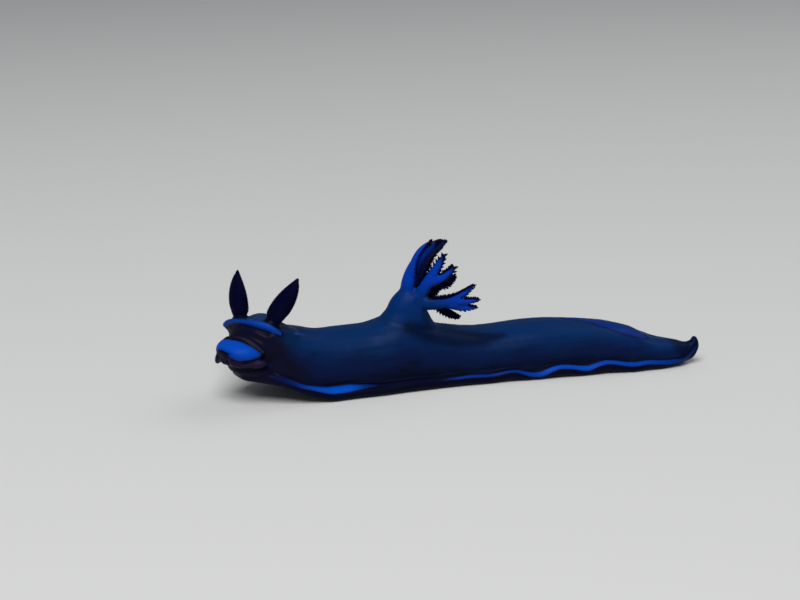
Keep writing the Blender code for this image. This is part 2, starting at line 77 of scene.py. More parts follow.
# From the face to the tail, in millimetres: the midline's place, the sole's lift off the ground, half the
# flanks' width, the back's height and half the foot's width.
Station = namedtuple("Station", "x y lift flank back foot")
STATIONS = Station(*np.array((
    (-29.3, -3.7, 2.9, 3.2, 6.2, 3.6),
    (-27.5, -2.7, 2.7, 3.9, 7.2, 4.3),
    (-25.0, -1.7, 2.0, 4.2, 7.6, 5.0),
    (-22.0, -1.0, 0.8, 4.3, 7.8, 5.7),
    (-18.0, -0.5, 0.0, 4.5, 7.65, 6.2),
    (-13.0, -0.2, 0.0, 4.6, 7.7, 6.2),
    (-8.0, -0.1, 0.0, 4.7, 8.7, 5.9),
    (-2.5, 0.0, 0.0, 4.6, 6.8, 5.7),
    (3.0, 0.0, 0.0, 4.6, 5.9, 5.7),
    (11.0, -0.5, 0.0, 4.4, 6.4, 5.5),
    (19.0, -1.5, 0.0, 3.9, 5.8, 4.8),
    (23.0, -2.45, 0.0, 3.3, 4.95, 4.15),
    (24.7, -2.85, 0.0, 2.95, 4.1, 3.75),
    (26.3, -3.3, 0.0, 2.5, 3.4, 3.3),
    (28.0, -3.8, 0.05, 2.0, 3.15, 2.7),
    (29.4, -4.3, 0.2, 1.45, 2.85, 1.95),
)).T * MM)
RING_STEP = 0.4 * MM
FLANK_SIDES = 48
FLANK_FULLNESS, BACK_FULLNESS = 0.8, 0.92
TRUNK_FLOOR = 1.2 * MM
TRUNK_FRONT, TRUNK_BACK = -27.5 * MM, 24.0 * MM
TRUNK_ROUNDING = 2.0 * MM
FOOT_TURN = -24.5 * MM
FRONT_RINGS, FRONT_END, FRONT_BOW, FRONT_FULLNESS, FRONT_FLATTENING = 24, 0.985, 2.4, 0.45, 0.6
TAIL_FRONT = 23.0 * MM
FOOT_THICKNESS = 1.7 * MM
SOLE_INSET, CREASE_GAP, LEAST_SHELF = 1.0 * MM, 0.05 * MM, 0.4 * MM
# The rim and the crease among the six points of the foot's outline.
FOOT_RIM, FOOT_CREASE = 2, 5
RIPPLE, RIPPLE_LENGTH, RIPPLE_CREST = 0.34 * MM, 6.8 * MM, 12.8 * MM
RIPPLE_LEAST, RIPPLE_GROWS, RIPPLE_FADES = 0.3, (-6.0 * MM, 8.0 * MM), (26.5 * MM, 23.5 * MM)
FAR_SIDE_SHIFT = 2.6 * MM
NOTAL_RIDGE, RIDGE_ANGLE, RIDGE_SPREAD = 0.28 * MM, math.radians(52), math.radians(13)
RIDGE_GROWS = 4.0 * MM, 14.0 * MM
TAIL_SWEEP = np.array((1.3, -0.35, 0)) * MM
TAIL_RISE, TAIL_TIP, TAIL_TAPER, TAIL_TURNS = 1.5 * MM, -0.3 * MM, 0.75, 18
# The tail's tip curls up behind the body as a small round finger.
TAIL_CURL = np.array(((29.5, -4.4, 1.45), (31.5, -4.9, 1.1), (31.25, -4.85, 3.85))) * MM
TAIL_CURL_TAPER = (2.5, 2.6), (1.15, 1.1)
LIMB_SIDES = 24


def along(x, column):
    """A column of the stations at each x, on a curve through them that never overshoots."""
    steps = np.diff(column) / np.diff(STATIONS.x)
    turns = steps[1:] * steps[:-1] <= 0
    mean = 2 * steps[1:] * steps[:-1] / np.where(turns, 1, steps[1:] + steps[:-1])
    ends = np.concatenate((steps[:1], np.where(turns, 0, mean), steps[-1:]))
    i = np.clip(np.searchsorted(STATIONS.x, x) - 1, 0, len(steps) - 1)
    span = STATIONS.x[i + 1] - STATIONS.x[i]
    t = np.clip((x - STATIONS.x[i]) / span, 0, 1)
    return (
        (1 + 2 * t) * (1 - t) ** 2 * column[i]
        + t * (1 - t) ** 2 * span * ends[i]
        + t * t * (3 - 2 * t) * column[i + 1]
        - t * t * (1 - t) * span * ends[i + 1]
    )


def station_at(x):
    return Station(x, *(along(x, column)[..., None] for column in STATIONS[1:]))


def placed(x, across, height):
    """Sections set square to the midline at each x: rings of points, given to the right and up."""
    step = 0.5 * MM
    slope = ((along(x + step, STATIONS.y) - along(x - step, STATIONS.y)) / (2 * step))[:, None]
    length = np.hypot(1, slope)
    here = station_at(x)
    spread = (x[:, None] - slope / length * across, here.y + across / length, here.lift + height)
    return ORIGIN + np.stack(np.broadcast_arrays(*spread), axis=-1)


def ramp(value, start, end):
    """0 at the start and before it, 1 at the end and past it, and even between them."""
    return np.clip((value - start) / (end - start), 0, 1)


def ripple(x, side):
    """How far the foot's edge is raised at x. The waves grow backwards and die out on the tail."""
    shift = FAR_SIDE_SHIFT if side > 0 else 0.0
    share = np.maximum(ramp(x, *RIPPLE_GROWS), RIPPLE_LEAST) * ramp(x, *RIPPLE_FADES)
    return (RIPPLE * share * np.cos(2 * np.pi * (x - RIPPLE_CREST - shift) / RIPPLE_LENGTH))[:, None]


def flank_outline(x, floor):
    """The back and both flanks from the right floor edge over the back to the left one."""
    here = station_at(x)
    rear = ramp(x, *RIDGE_GROWS)[:, None]
    angle = np.linspace(0, np.pi, FLANK_SIDES + 1)
    across = np.sign(np.cos(angle)) * np.abs(np.cos(angle)) ** FLANK_FULLNESS
    height = np.abs(np.sin(angle)) ** BACK_FULLNESS
    fold = np.minimum(angle, np.pi - angle) - RIDGE_ANGLE
    swell = 1 + rear * NOTAL_RIDGE / here.back * np.exp(-((fold / RIDGE_SPREAD) ** 2))
    return here.flank * across * swell, floor + (here.back - floor) * height * swell


def foot_side(x, side):
    """Half of the foot's outline, from the sole's edge round the rim to the crease below the flank."""
    here = station_at(x)
    wave = ripple(x, side)
    lifted = np.maximum(wave, 0)
    level = 0 * wave
    crease = here.flank + CREASE_GAP
    shelf = np.maximum(here.foot - crease, LEAST_SHELF)
    outline = (
        (here.foot - SOLE_INSET, level),
        (here.foot - 0.3 * MM, 0.2 * MM + 0.3 * lifted),
        (here.foot + level, 0.6 * MM + 0.8 * wave),
        (here.foot - 0.2 * shelf, 1.1 * MM + wave),
        (here.foot - 0.6 * shelf, 1.5 * MM + 0.6 * wave),
        (crease, FOOT_THICKNESS + level),
    )
    across, height = (np.hstack(column) for column in zip(*outline))
    return side * across, height


def rolled(name, rings):
    """A sheet laid over the rings, rolled shut along its length and closed at both ends."""
    count, sides = rings.shape[:2]
    bpy.ops.object.select_all(action="DESELECT")
    bpy.ops.mesh.primitive_grid_add(x_subdivisions=sides, y_subdivisions=count - 1)
    piece = bpy.context.object
    piece.name = name
    piece.data.vertices.foreach_set("co", np.concatenate((rings, rings[:, :1]), axis=1).ravel())
    bpy.ops.object.mode_set(mode="EDIT")
    bpy.ops.mesh.select_all(action="SELECT")
    bpy.ops.mesh.remove_doubles(threshold=0.001 * MM)
    bpy.ops.mesh.fill_holes(sides=0)
    bpy.ops.mesh.select_all(action="SELECT")
    bpy.ops.mesh.normals_make_consistent(inside=False)
    bpy.ops.object.mode_set(mode="OBJECT")
    return piece


def finished(piece, kind, **settings):
    """Adds a modifier with these settings and applies it."""
    step = piece.modifiers.new(kind.lower(), kind)
    for setting, value in settings.items():
        setattr(step, setting, value)
    bpy.context.view_layer.objects.active = piece
    bpy.ops.object.modifier_apply(modifier=step.name)
    return piece


def spaced(first, last):
    return np.linspace(first, last, max(2, round(abs(last - first) / RING_STEP)) + 1)


def make_trunk():
    """The trunk from under the skull to the tail, rounded at its front end."""
    x = spaced(TRUNK_FRONT, TRUNK_BACK)
    across, height = flank_outline(x, TRUNK_FLOOR)
    narrow = np.sqrt(1 - np.clip(1 - (x - TRUNK_FRONT) / TRUNK_ROUNDING, 0, 0.98) ** 2)[:, None]
    return rolled("trunk", placed(x, across * narrow, TRUNK_FLOOR + (height - TRUNK_FLOOR) * narrow))


def foot_narrow(x):
    """The share of its width that the foot keeps at x, where it is rounded off at its front end."""
    ahead = FRONT_END * ramp(x, FOOT_TURN, STATIONS.x[0])
    return (1 - ahead ** FRONT_BOW)[:, None] ** FRONT_FULLNESS


def make_foot():
    """The foot to the tail, rounded off at its front margin under the head."""
    front = FOOT_TURN + (STATIONS.x[0] - FOOT_TURN) * np.sin(np.linspace(np.pi / 2, 0, FRONT_RINGS))
    x = np.concatenate((front, spaced(FOOT_TURN, TRUNK_BACK)[1:]))
    narrow = foot_narrow(x)
    right, right_height = foot_side(x, 1)
    left, left_height = foot_side(x, -1)
    across = np.hstack((right, left[:, ::-1])) * narrow
    height = np.hstack((right_height, left_height[:, ::-1]))
    middle = FOOT_THICKNESS / 2
    foot = rolled("foot", placed(x, across, middle + (height - middle) * narrow ** FRONT_FLATTENING))
    return finished(foot, "SUBSURF", levels=2, render_levels=2)


def tail_rings():
    """The tail's cross sections, whose keel sweeps up from the ground at its end."""
    x = spaced(TAIL_FRONT, STATIONS.x[-1])
    back, back_height = flank_outline(x, FOOT_THICKNESS)
    right, right_height = foot_side(x, 1)
    left, left_height = foot_side(x, -1)
    across = np.hstack((right[:, :-1], back, left[:, -2::-1]))
    height = np.hstack((right_height[:, :-1], back_height, left_height[:, -2::-1]))
    rings = placed(x, across, height)
    last = rings[-1]
    middle = last.mean(axis=0) * (1, 1, 0)
    crest = last[:, 2].max()
    rise = last[:, 2] / crest
    for turn in np.linspace(0, np.pi / 2, TAIL_TURNS + 1)[1:]:
        share = turn / (np.pi / 2)
        drawn_in = 1 - math.cos(turn)
        keel = TAIL_RISE * drawn_in
        ring = middle + TAIL_SWEEP * math.sin(turn) + (last - middle) * (1 - TAIL_TAPER * drawn_in)
        ring[:, 2] = keel + rise * (crest + TAIL_TIP * share ** 3 - keel)
        rings = np.concatenate((rings, ring[None]))
    return rings


def unit(vectors):
    return vectors / np.linalg.norm(vectors, axis=-1, keepdims=True)


def curve_at(points, t):
    """Places and directions on the curve from the first point to the last, pulled by the middle one."""
    start, pull, end = points
    t = np.asarray(t)[..., None]
    places = start * (1 - t) ** 2 + pull * 2 * t * (1 - t) + end * t * t
    return places, unit((pull - start) * (1 - t) + (end - pull) * t)


def ovals(places, across, out, wide, deep, sides):
    """Oval rings round the places, with half a width along one direction and half a depth along another."""
    angle = np.linspace(0, 2 * np.pi, sides, endpoint=False)
    wide = np.reshape(wide, (-1, 1)) * np.cos(angle)
    deep = np.reshape(deep, (-1, 1)) * np.sin(angle)
    return places[:, None] + across[:, None] * wide[..., None] + out[:, None] * deep[..., None]


def limb(name, points, outward, taper, span=(0.0, 1.0), rings=20):
    """An oval limb along a curve, its broad faces turned outward and inward, its last fifth rounded."""
    root, tip = np.array(taper) * MM / 2
    share = np.sin(np.linspace(0, np.pi / 2, rings))
    t = span[0] + (span[1] - span[0]) * share
    places, run = curve_at(points, t)
    across = unit(np.cross(run, outward))
    rounding = np.sqrt(1 - np.clip(share * 5 - 4, 0, 0.99) ** 2)[:, None]
    wide, deep = ((root + (tip - root) * t[:, None]) * rounding).T
    return rolled(name, ovals(places, across, np.cross(across, run), wide, deep, LIMB_SIDES))


skin_forms = [make_trunk(), make_foot(), rolled("tail", tail_rings())]
skin_forms.append(limb("tail_curl", ORIGIN + TAIL_CURL, np.array((0.0, 1.0, 0.0)), TAIL_CURL_TAPER))

# The head. A blunt skull under a broad brow, a soft snout with two lips round the slit of the mouth, a
# pair of oral tentacles beside it and a low sheath round the foot of each rhinophore. Balls and limbs of
# flesh are pressed together here, and the skin is drawn over them further down.
HEAD_CENTRE = ORIGIN + np.array((-26.3, -1.7, 7.0)) * MM
HEAD_YAW, HEAD_ROLL = math.radians(36), math.radians(2.2)
FORWARD = np.array((-math.cos(HEAD_YAW), -math.sin(HEAD_YAW), 0))
LEFT = np.array((math.sin(HEAD_YAW), -math.cos(HEAD_YAW), 0)) * math.cos(HEAD_ROLL)
LEFT = LEFT + np.array((0, 0, math.sin(HEAD_ROLL)))
CROWN = np.cross(FORWARD, LEFT)
SKULL = (0.1, 0.0, 0.3), (3.3, 4.2, 3.0)
DOME = (-0.5, 0.0, 2.35), (2.5, 2.3, 1.3)
CHEEK = (-1.2, 2.3, 0.8), (2.6, 2.3, 1.7)
TEMPLE = (-0.4, 3.1, 1.75), (2.3, 1.4, 0.85)
VEIL = (0.8, 0.0, 2.4), (1.9, 4.3, 0.7)
VEIL_DROOP = 1.4 * MM
BROW_REACHES, BROW_FRONT, BROW_TOP = (4.6, 4.3), 2.85, 3.5
BROW_CURVE, BROW_FALL, BROW_SWING, BROW_TILT = 1.5, 1.35, 0.5, 0.35
BROW_STEPS, BROW_CURVE_POWER, BROW_FALL_POWER = 80, 1.7, 2.8
BROW_THICK = (-1, 0.28), (-0.8, 0.34), (-0.35, 0.23), (0.1, 0.22), (0.55, 0.42), (0.85, 0.28), (1, 0.1)
BROW_DEPTH, BROW_ROUNDING = 0.45, 0.06
BROW_WEB_DEPTH, BROW_WEB_DROP, BROW_WEB_SIZE, BROW_WEB_ROUNDING = 1.05, 0.45, (0.55, 0.8), 0.12
SNOUT = (3.1, 0.0, 0.2), (3.1, 3.3, 1.5)
SNOUT_FOLD = (3.6, -2.4, 1.35), (4.3, 2.2, 2.3), (2.5, 3.5, -0.2)
SNOUT_FOLD_STEPS, SNOUT_FOLD_SIZE, SNOUT_FOLD_ROUNDING = 40, 0.3, 0.4
LIP = (4.9, 0.75, -0.8), (1.0, 0.85, 0.75)
LOWER_LIP = (2.6, 0.0, -1.35), (2.8, 3.2, 0.6)
CHIN = (1.6, 0.0, -2.4), (2.6, 3.4, 1.2)
MOUTH = (5.9, 0.0, -0.8), (0.9, 0.14, 0.8)
TENTACLES = {
    1: ((3.4, 1.6, -1.2), (4.2, 3.0, -1.35), (2.4, 3.7, -1.1)),
    -1: ((3.6, 0.7, 0.1), (5.9, 1.6, -0.2), (4.7, 2.75, -1.85)),
}
TENTACLE_TAPERS = {1: ((1.3, 1.0), (0.9, 0.7)), -1: ((3.2, 1.8), (0.5, 0.45))}
TENTACLE_TILT = 0.3
RHINOPHORE_ROOTS = {1: np.array((0.6, 2.45, 2.5)), -1: np.array((0.6, 2.5, 2.0))}
RHINOPHORE_REACH = np.array((-2.7, 2.75, 6.2))
RHINOPHORE_BEND = 0.3
SHEATH_END = 0.2
SHEATH_TAPER = (2.3, 2.1), (1.0, 0.8)


def head_spot(spot, side=1):
    """A place given forwards, to the left and up from the head's centre, in millimetres."""
    forward, left, up = np.moveaxis(np.asarray(spot, float), -1, 0)[..., None]
    return HEAD_CENTRE + (FORWARD * forward + LEFT * left * side + CROWN * up) * MM


def head_egg(name, form, side=1, droop=0.0):
    """A ball of flesh with its radii along the head's directions. The droop lowers both its far sides."""
    (forward, left, up), radii = form
    bpy.ops.object.select_all(action="DESELECT")
    bpy.ops.mesh.primitive_uv_sphere_add(segments=64, ring_count=32, radius=1)
    piece = bpy.context.object
    piece.name = name
    spots = np.array([corner.co for corner in piece.data.vertices])
    sizes = np.array(radii) * MM
    places = head_spot((forward, left * side, up)) + np.einsum(
        "ij,jk->ik", spots * sizes - np.outer(spots[:, 1] ** 2, (0, 0, droop)), (FORWARD, LEFT, CROWN)
    )
    piece.data.vertices.foreach_set("co", places.ravel())
    return piece


def flesh_roll(name, places, thick, deep):
    """A long roll of flesh through the places, with half its thickness and depth at each in millimetres."""
    run = unit(np.gradient(places, axis=0))
    side = unit(np.cross(run, CROWN))
    return rolled(name, ovals(places, side, np.cross(side, run), deep * MM, thick * MM, LIMB_SIDES))


def round_ends(t, share):
    """1 along a roll, falling off to nothing as a round end does over that share of it at both ends."""
    return np.sqrt(np.clip(1 - np.clip(1 - np.minimum(t, 1 - t) / share, 0, 1) ** 2, 0.01, 1))


def brow_line(depth):
    """The rim of the veil over the face, that far behind its front: places, and half its thickness.
    It is thin in the middle, thicker towards its drooping ends, and droops and reaches most on the right."""
    share = np.linspace(-1, 1, BROW_STEPS)
    forward = BROW_FRONT - depth - BROW_CURVE * np.abs(share) ** BROW_CURVE_POWER - BROW_SWING * share
    up = BROW_TOP - BROW_FALL * np.abs(share) ** BROW_FALL_POWER + BROW_TILT * np.minimum(share, 0)
    thick = np.interp(share, *np.transpose(BROW_THICK))
    left = share * np.where(share < 0, *BROW_REACHES)
    return head_spot(np.stack((forward, left, up), axis=-1)), thick


def make_brow():
    places, thick = brow_line(BROW_DEPTH)
    ends = round_ends(np.linspace(0, 1, BROW_STEPS), BROW_ROUNDING)
    return flesh_roll("brow", places, thick * ends, BROW_DEPTH * ends)


def make_brow_web():
    """The soft underside that joins the rim to the face behind it, all the way along."""
    places = brow_line(BROW_WEB_DEPTH)[0]
    ends = round_ends(np.linspace(0, 1, BROW_STEPS), BROW_WEB_ROUNDING)
    low, deep = BROW_WEB_SIZE
    return flesh_roll("brow_web", places - CROWN * BROW_WEB_DROP * MM, low * ends, deep * ends)


def make_snout_fold():
    """The soft crease's lip above the snout's blue lobe."""
    t = np.linspace(0, 1, SNOUT_FOLD_STEPS)
    places = curve_at([head_spot(spot) for spot in SNOUT_FOLD], t)[0]
    size = SNOUT_FOLD_SIZE * round_ends(t, SNOUT_FOLD_ROUNDING)
    return flesh_roll("snout_fold", places, size, size)


def rhinophore_line(side):
    """Root, middle and tip of a rhinophore, which splays outwards and leans back."""
    root = head_spot(RHINOPHORE_ROOTS[side], side)
    tip = head_spot(RHINOPHORE_ROOTS[side] + RHINOPHORE_REACH, side)
    return root, (root + tip) / 2 + FORWARD * RHINOPHORE_BEND * MM, tip


def cut(piece, cutter):
    """Cuts the cutter out of the piece and drops the cutter."""
    finished(piece, "BOOLEAN", operation="DIFFERENCE", solver="EXACT", object=cutter)
    bpy.data.objects.remove(cutter)


skin_forms += [
    head_egg("skull", SKULL),
    head_egg("dome", DOME),
    head_egg("veil", VEIL, droop=VEIL_DROOP),
    make_brow(),
    make_brow_web(),
    head_egg("snout", SNOUT),
    make_snout_fold(),
    head_egg("lower_lip", LOWER_LIP),
    head_egg("chin", CHIN),
]
for side in (1, -1):
    tentacle = [head_spot(spot, side) for spot in TENTACLES[side]]
    skin_forms += [
        head_egg("cheek", CHEEK, side),
        head_egg("temple", TEMPLE, side),
        head_egg("lip", LIP, side),
        limb("tentacle", tentacle, LEFT * side + CROWN * TENTACLE_TILT, TENTACLE_TAPERS[side]),
        limb("sheath", rhinophore_line(side), FORWARD, SHEATH_TAPER, (0, SHEATH_END)),
    ]

# The plume's trunk, its five gills and the anal papilla. The trunk rises from a mound on the back and
# parts into a front gill and two pairs, each with one or two forks. Only their flesh is made here; the
# pinnules that breathe are set on it later.
GILL_CENTRE = ORIGIN + GILL_CENTRE_AT
MOUND = (-0.8, 4.6, 3.2, -3.0), (-0.8, 3.7, 2.7, -1.7), (-0.7, 3.05, 2.35, -0.8), (-0.55, 2.65, 2.2, -0.15)
STALK = (-0.5, 2.5, 2.15, 0.15), (-0.35, 2.35, 2.0, 0.9), (-0.2, 2.2, 1.9, 1.6), (0.0, 1.95, 1.6, 2.3)
STALK_SIDES = 48
PLUME_HEART = (3.2, 0.0, 4.2)
LEVEL_SHARE = 0.35
# Backwards, to the animal's left and up from the gill's centre, in millimetres: a main curve and the
# forks that leave it, each as root, pull and tip.
BRANCHES = {
    "gill_front": (
        ((-0.5, 0.0, 1.0), (-0.5, 0.0, 6.65), (4.4, 0.1, 8.75)),
        ((0.1, 0.4, 4.6), (0.3, 0.6, 7.8), (2.5, 0.6, 8.7)),
    ),
    "gill_left_fore": (
        ((0.7, 0.9, 1.4), (2.2, 1.9, 4.4), (3.7, 2.8, 7.6)),
        ((1.7, 1.5, 3.6), (3.5, 2.7, 4.0), (5.0, 3.2, 6.0)),
    ),
    "gill_right_fore": (
        ((0.6, -0.9, 1.4), (1.2, -2.2, 5.2), (3.5, -3.0, 7.9)),
        ((1.5, -1.8, 4.1), (2.6, -2.9, 5.2), (3.6, -3.3, 6.5)),
    ),
    "gill_left_rear": (
        ((1.3, 1.4, 0.9), (4.4, 3.2, 0.5), (7.2, 4.3, 3.75)),
        ((4.4, 2.9, 1.4), (6.2, 4.2, 1.3), (7.7, 4.6, 1.9)),
        ((3.8, 2.6, 1.2), (5.8, 3.7, 0.2), (7.6, 4.1, 0.7)),
    ),
    "gill_right_rear": (
        ((1.3, -1.4, 0.9), (4.2, -3.0, 0.8), (6.9, -4.4, 3.8)),
        ((4.1, -2.7, 1.5), (6.0, -4.0, 1.4), (7.5, -4.9, 2.2)),
        ((3.0, -1.9, 0.9), (4.4, -1.2, -1.6), (6.9, -0.9, -2.2)),
    ),
}
FRONT_TAPER = (2.4, 2.0), (0.55, 1.2)
RACHIS_TAPER = (2.0, 1.5), (0.6, 0.5)
FORK_TAPER = (1.4, 1.05), (0.5, 0.4)
PAPILLA = (0.9, 0.0, 1.6), (1.1, 0.0, 2.9), (1.7, 0.0, 3.5)
PAPILLA_TAPER = (1.05, 1.05), (0.75, 0.75)


def gill_spot(spot):
    back, left, up = spot
    return GILL_CENTRE + np.array((back, -left, up)) * MM


def ellipses(*rows):
    """Level ellipses round the plume's trunk as rings: place, half length, half width and height."""
    angle = np.linspace(0, 2 * np.pi, STALK_SIDES, endpoint=False)
    rings = []
    for back, half_length, half_width, height in rows:
        spread = (back + half_length * np.cos(angle), half_width * np.sin(angle), 0 * angle + height)
        rings.append(GILL_CENTRE + np.stack(spread, axis=-1) * MM)
    return np.array(rings)


def branch_lines(name):
    return [np.array([gill_spot(spot) for spot in line]) for line in BRANCHES[name]]


def gill_outward(line):
    """The outer side of a branch, away from the middle of the plume and mostly level."""
    return unit(((line[0] + line[1]) / 2 - gill_spot(PLUME_HEART)) * (1, 1, LEVEL_SHARE))


def gill_taper(name, i):
    """The root's and the tip's width and depth of a gill's main branch, which comes first, or of a fork."""
    if i:
        return FORK_TAPER
    return FRONT_TAPER if name == "gill_front" else RACHIS_TAPER


skin_forms.append(finished(rolled("plume_trunk", ellipses(*MOUND, *STALK)), "SUBSURF", levels=1))
for name in BRANCHES:
    lines = branch_lines(name)
    for i, line in enumerate(lines):
        skin_forms.append(limb("branch", line, gill_outward(lines[0]), gill_taper(name, i), rings=28))
papilla = np.array([gill_spot(spot) for spot in PAPILLA])
skin_forms.append(limb("papilla", papilla, np.array((0.0, 0.0, 1.0)), PAPILLA_TAPER))

# The skin: one seamless hide over all of that flesh. The forms are joined, drawn over with an even net of
# small faces, and eased until no seam shows between them.
SKIN_NET = 0.17 * MM
SKIN_EASE = 6
# Places round which the skin is eased far more: on the neck, counted from the head's centre, where the
# tail curls, and where the front gill leaves the plume's trunk and that leaves the back.
NECK_SPOTS = (
    (-2.6, 3.4, 0.6), (-2.6, -3.4, 0.6), (-3.2, 0.0, 3.0),
    (-2.0, 4.0, -1.5), (-2.3, 4.0, 1.6), (-2.0, -4.0, 1.4),
    (-3.6, 3.6, 1.6), (-3.4, 2.4, 2.2), (-3.6, -3.6, 1.6),
)
TAIL_SPOTS = (29.9, -5.9, 1.1), (29.9, -3.2, 1.1), (30.1, -4.5, 2.8)
PLUME_SPOTS = (
    (-1.9, 0.0, 1.9), (-1.4, 1.2, 1.9), (-1.4, -1.2, 1.9),
    (3.0, 0.0, -2.3), (2.6, 1.5, -2.3), (2.6, -1.5, -2.3),
)
NECK_REACH, TAIL_REACH, PLUME_REACH, EASE_STEPS = 2.4 * MM, 1.3 * MM, 1.5 * MM, 150


def joined(name, pieces):
    """Joins the pieces into one of that name."""
    bpy.ops.object.select_all(action="DESELECT")
    for piece in pieces:
        piece.select_set(True)
    bpy.context.view_layer.objects.active = pieces[0]
    bpy.ops.object.join()
    bpy.context.object.name = name
    return bpy.context.object


skin = joined("skin", skin_forms)
finished(skin, "REMESH", mode="VOXEL", voxel_size=SKIN_NET, use_smooth_shade=True)
finished(skin, "SMOOTH", factor=0.5, iterations=SKIN_EASE)
eased = skin.vertex_groups.new(name="eased")
for spots, wide in (
    (head_spot(np.array(NECK_SPOTS)), NECK_REACH),
    (ORIGIN + np.array(TAIL_SPOTS) * MM, TAIL_REACH),
    (GILL_CENTRE + np.array(PLUME_SPOTS) * MM, PLUME_REACH),
):
    for corner in skin.data.vertices:
        reach = np.linalg.norm(spots - corner.co, axis=1).min() / wide
        if reach < 1:
            eased.add((corner.index,), min(1.0, 2 - 2 * reach), "REPLACE")
finished(skin, "SMOOTH", factor=0.5, iterations=EASE_STEPS, vertex_group="eased")
cut(skin, head_egg("mouth", MOUTH))
# The net also closes round tiny hollows between the forms. All that isn't joined to the outer hide goes.
bpy.ops.object.mode_set(mode="EDIT")
bpy.ops.mesh.select_mode(type="VERT")
bpy.ops.mesh.select_all(action="DESELECT")
bpy.ops.object.mode_set(mode="OBJECT")
max(skin.data.vertices, key=lambda corner: corner.co.z).select = True
bpy.ops.object.mode_set(mode="EDIT")
bpy.ops.mesh.select_linked()
bpy.ops.mesh.select_all(action="INVERT")
bpy.ops.mesh.delete(type="VERT")
bpy.ops.object.mode_set(mode="OBJECT")
bpy.ops.object.shade_smooth()

# The creases of a muscular hide: long soft folds along the flanks, and short ones across them.
FOLD_SIZE, FOLD_DEPTH = np.array((7.0, 0.9, 0.9)) * MM, 0.07 * MM
CREASE_SIZE, CREASE_DEPTH = np.array((0.8, 2.2, 2.2)) * MM, 0.02 * MM
# They come on behind the neck and above the foot, and end where the plume rises.
CREASED_BACKWARDS, CREASED_UPWARDS, CREASED_TO = (-25.5 * MM, -22.5 * MM), (0.2, 0.45), 1.15


def vertex_rows(name):
    """The places or the normals of all of the skin's points."""
    column = np.empty(len(skin.data.vertices) * 3)
    skin.data.vertices.foreach_get(name, column)
    return column.reshape(-1, 3)


points, normals = vertex_rows("co"), vertex_rows("normal")
body = points - ORIGIN
folds = np.array([noise.noise(Vector(spot)) for spot in body / FOLD_SIZE])
creases = np.array([noise.noise(Vector(spot)) for spot in body / CREASE_SIZE])
here = station_at(body[:, 0])
lying = (body[:, 2] - here.lift[:, 0]) / here.back[:, 0]
on_trunk = ramp(body[:, 0], *CREASED_BACKWARDS) * ramp(lying, *CREASED_UPWARDS) * (lying < CREASED_TO)
points = points + normals * (on_trunk * (FOLD_DEPTH * folds + CREASE_DEPTH * creases))[:, None]
points[:, 2] = np.maximum(points[:, 2], 0)
skin.data.vertices.foreach_set("co", points.ravel())

# The markings: bright blue lines and patches on dark hide. Each is a line on the surface with a half
# width and a strength at each of its points, and is kept on the skin as the distance inside its edge.
FOOT_LINE = np.array((
    (-28.5, 0.70, 0.20, 0.05),
    (-27.0, 0.70, 0.40, 0.15),
    (-24.0, 0.62, 0.42, 0.25),
    (-22.0, 0.58, 0.42, 0.45),
    (-20.5, 0.52, 0.50, 0.75),
    (-18.0, 0.44, 0.66, 1.00),
    (-16.0, 0.46, 0.62, 0.95),
    (-14.2, 0.50, 0.40, 0.35),
    (-12.0, 0.50, 0.16, 0.18),
    (-4.0, 0.70, 0.14, 0.15),
    (-1.2, 0.78, 0.22, 0.45),
    (1.5, 0.70, 0.24, 0.50),
    (4.2, 0.68, 0.24, 0.40),
    (6.6, 0.70, 0.24, 0.38),
    (8.0, 0.80, 0.28, 0.50),
    (10.5, 0.88, 0.38, 0.80),
    (12.7, 0.62, 0.38, 1.00),
    (15.1, 0.60, 0.36, 0.95),
    (16.9, 0.72, 0.38, 0.95),
    (19.4, 0.45, 0.34, 0.85),
    (24.3, 0.74, 0.30, 0.70),
    (27.5, 0.92, 0.30, 0.48),
    (29.2, 0.96, 0.28, 0.36),
))
# Where the line ends on the tail's curl: along the body, out from its midline and up.
TAIL_LINE = (29.9, 1.5, 1.0), (30.5, 1.1, 1.5), (31.0, 0.8, 2.1), (31.3, 0.6, 2.6)
# Painted shade over the tail's end: each row a place in the body's frame and a half width, in millimetres.
TAIL_SHADE = np.array(((28.6, -4.0, 1.9, 1.2), (30.2, -4.5, 2.2, 2.0), (31.4, -4.85, 3.5, 2.0)))
# Painted shadow of the near rear gill on the stalk's rear base, mirrored to the far side below.
STALK_SHADOW = np.array(((-4.9, -2.2, 8.7, 0.4), (-4.4, -2.6, 7.9, 0.9), (-3.2, -3.0, 6.9, 1.2)))
BROW_BAND_DEPTH, BROW_BAND_EDGE, BROW_BAND_STRENGTH = 0.25, 0.08, (0.5, 0.85)
LOBE = np.array((
    (3.0, 3.3, -0.3, 0.10),
    (3.8, 3.15, 0.05, 0.55),
    (4.5, 2.7, 0.35, 0.90),
    (4.9, 2.0, 0.6, 1.05),
    (5.1, 1.0, 0.9, 1.05),
    (5.2, 0.0, 1.1, 0.95),
    (5.1, -1.0, 1.0, 0.90),
    (4.9, -2.0, 0.7, 0.85),
    (4.4, -2.8, 0.3, 0.60),
    (3.6, -3.2, -0.1, 0.10),
))
LOBE_FOOT = np.array((
    (5.5, -0.9, 0.65, 0.2),
    (5.5, -0.3, 0.45, 0.4),
    (5.5, 0.8, 0.25, 0.6),
    (5.2, 1.6, 0.15, 0.7),
    (4.6, 2.5, 0.0, 0.5),
))
LOBE_RIM = np.array((
    (2.7, 3.3, 0.1, 0.10),
    (3.3, 3.15, 0.55, 0.30),
    (3.55, 2.4, 1.15, 0.36),
    (3.5, 1.3, 1.55, 0.36),
    (3.6, 0.0, 1.65, 0.30),
    (3.6, -1.6, 1.5, 0.10),
))
LIP_BLUSH = np.array((
    (5.0, -1.4, -0.7, 0.5),
    (5.4, 0.6, -0.9, 0.6),
    (4.9, 2.4, -1.1, 0.6),
    (3.6, 3.4, -1.2, 0.5),
))
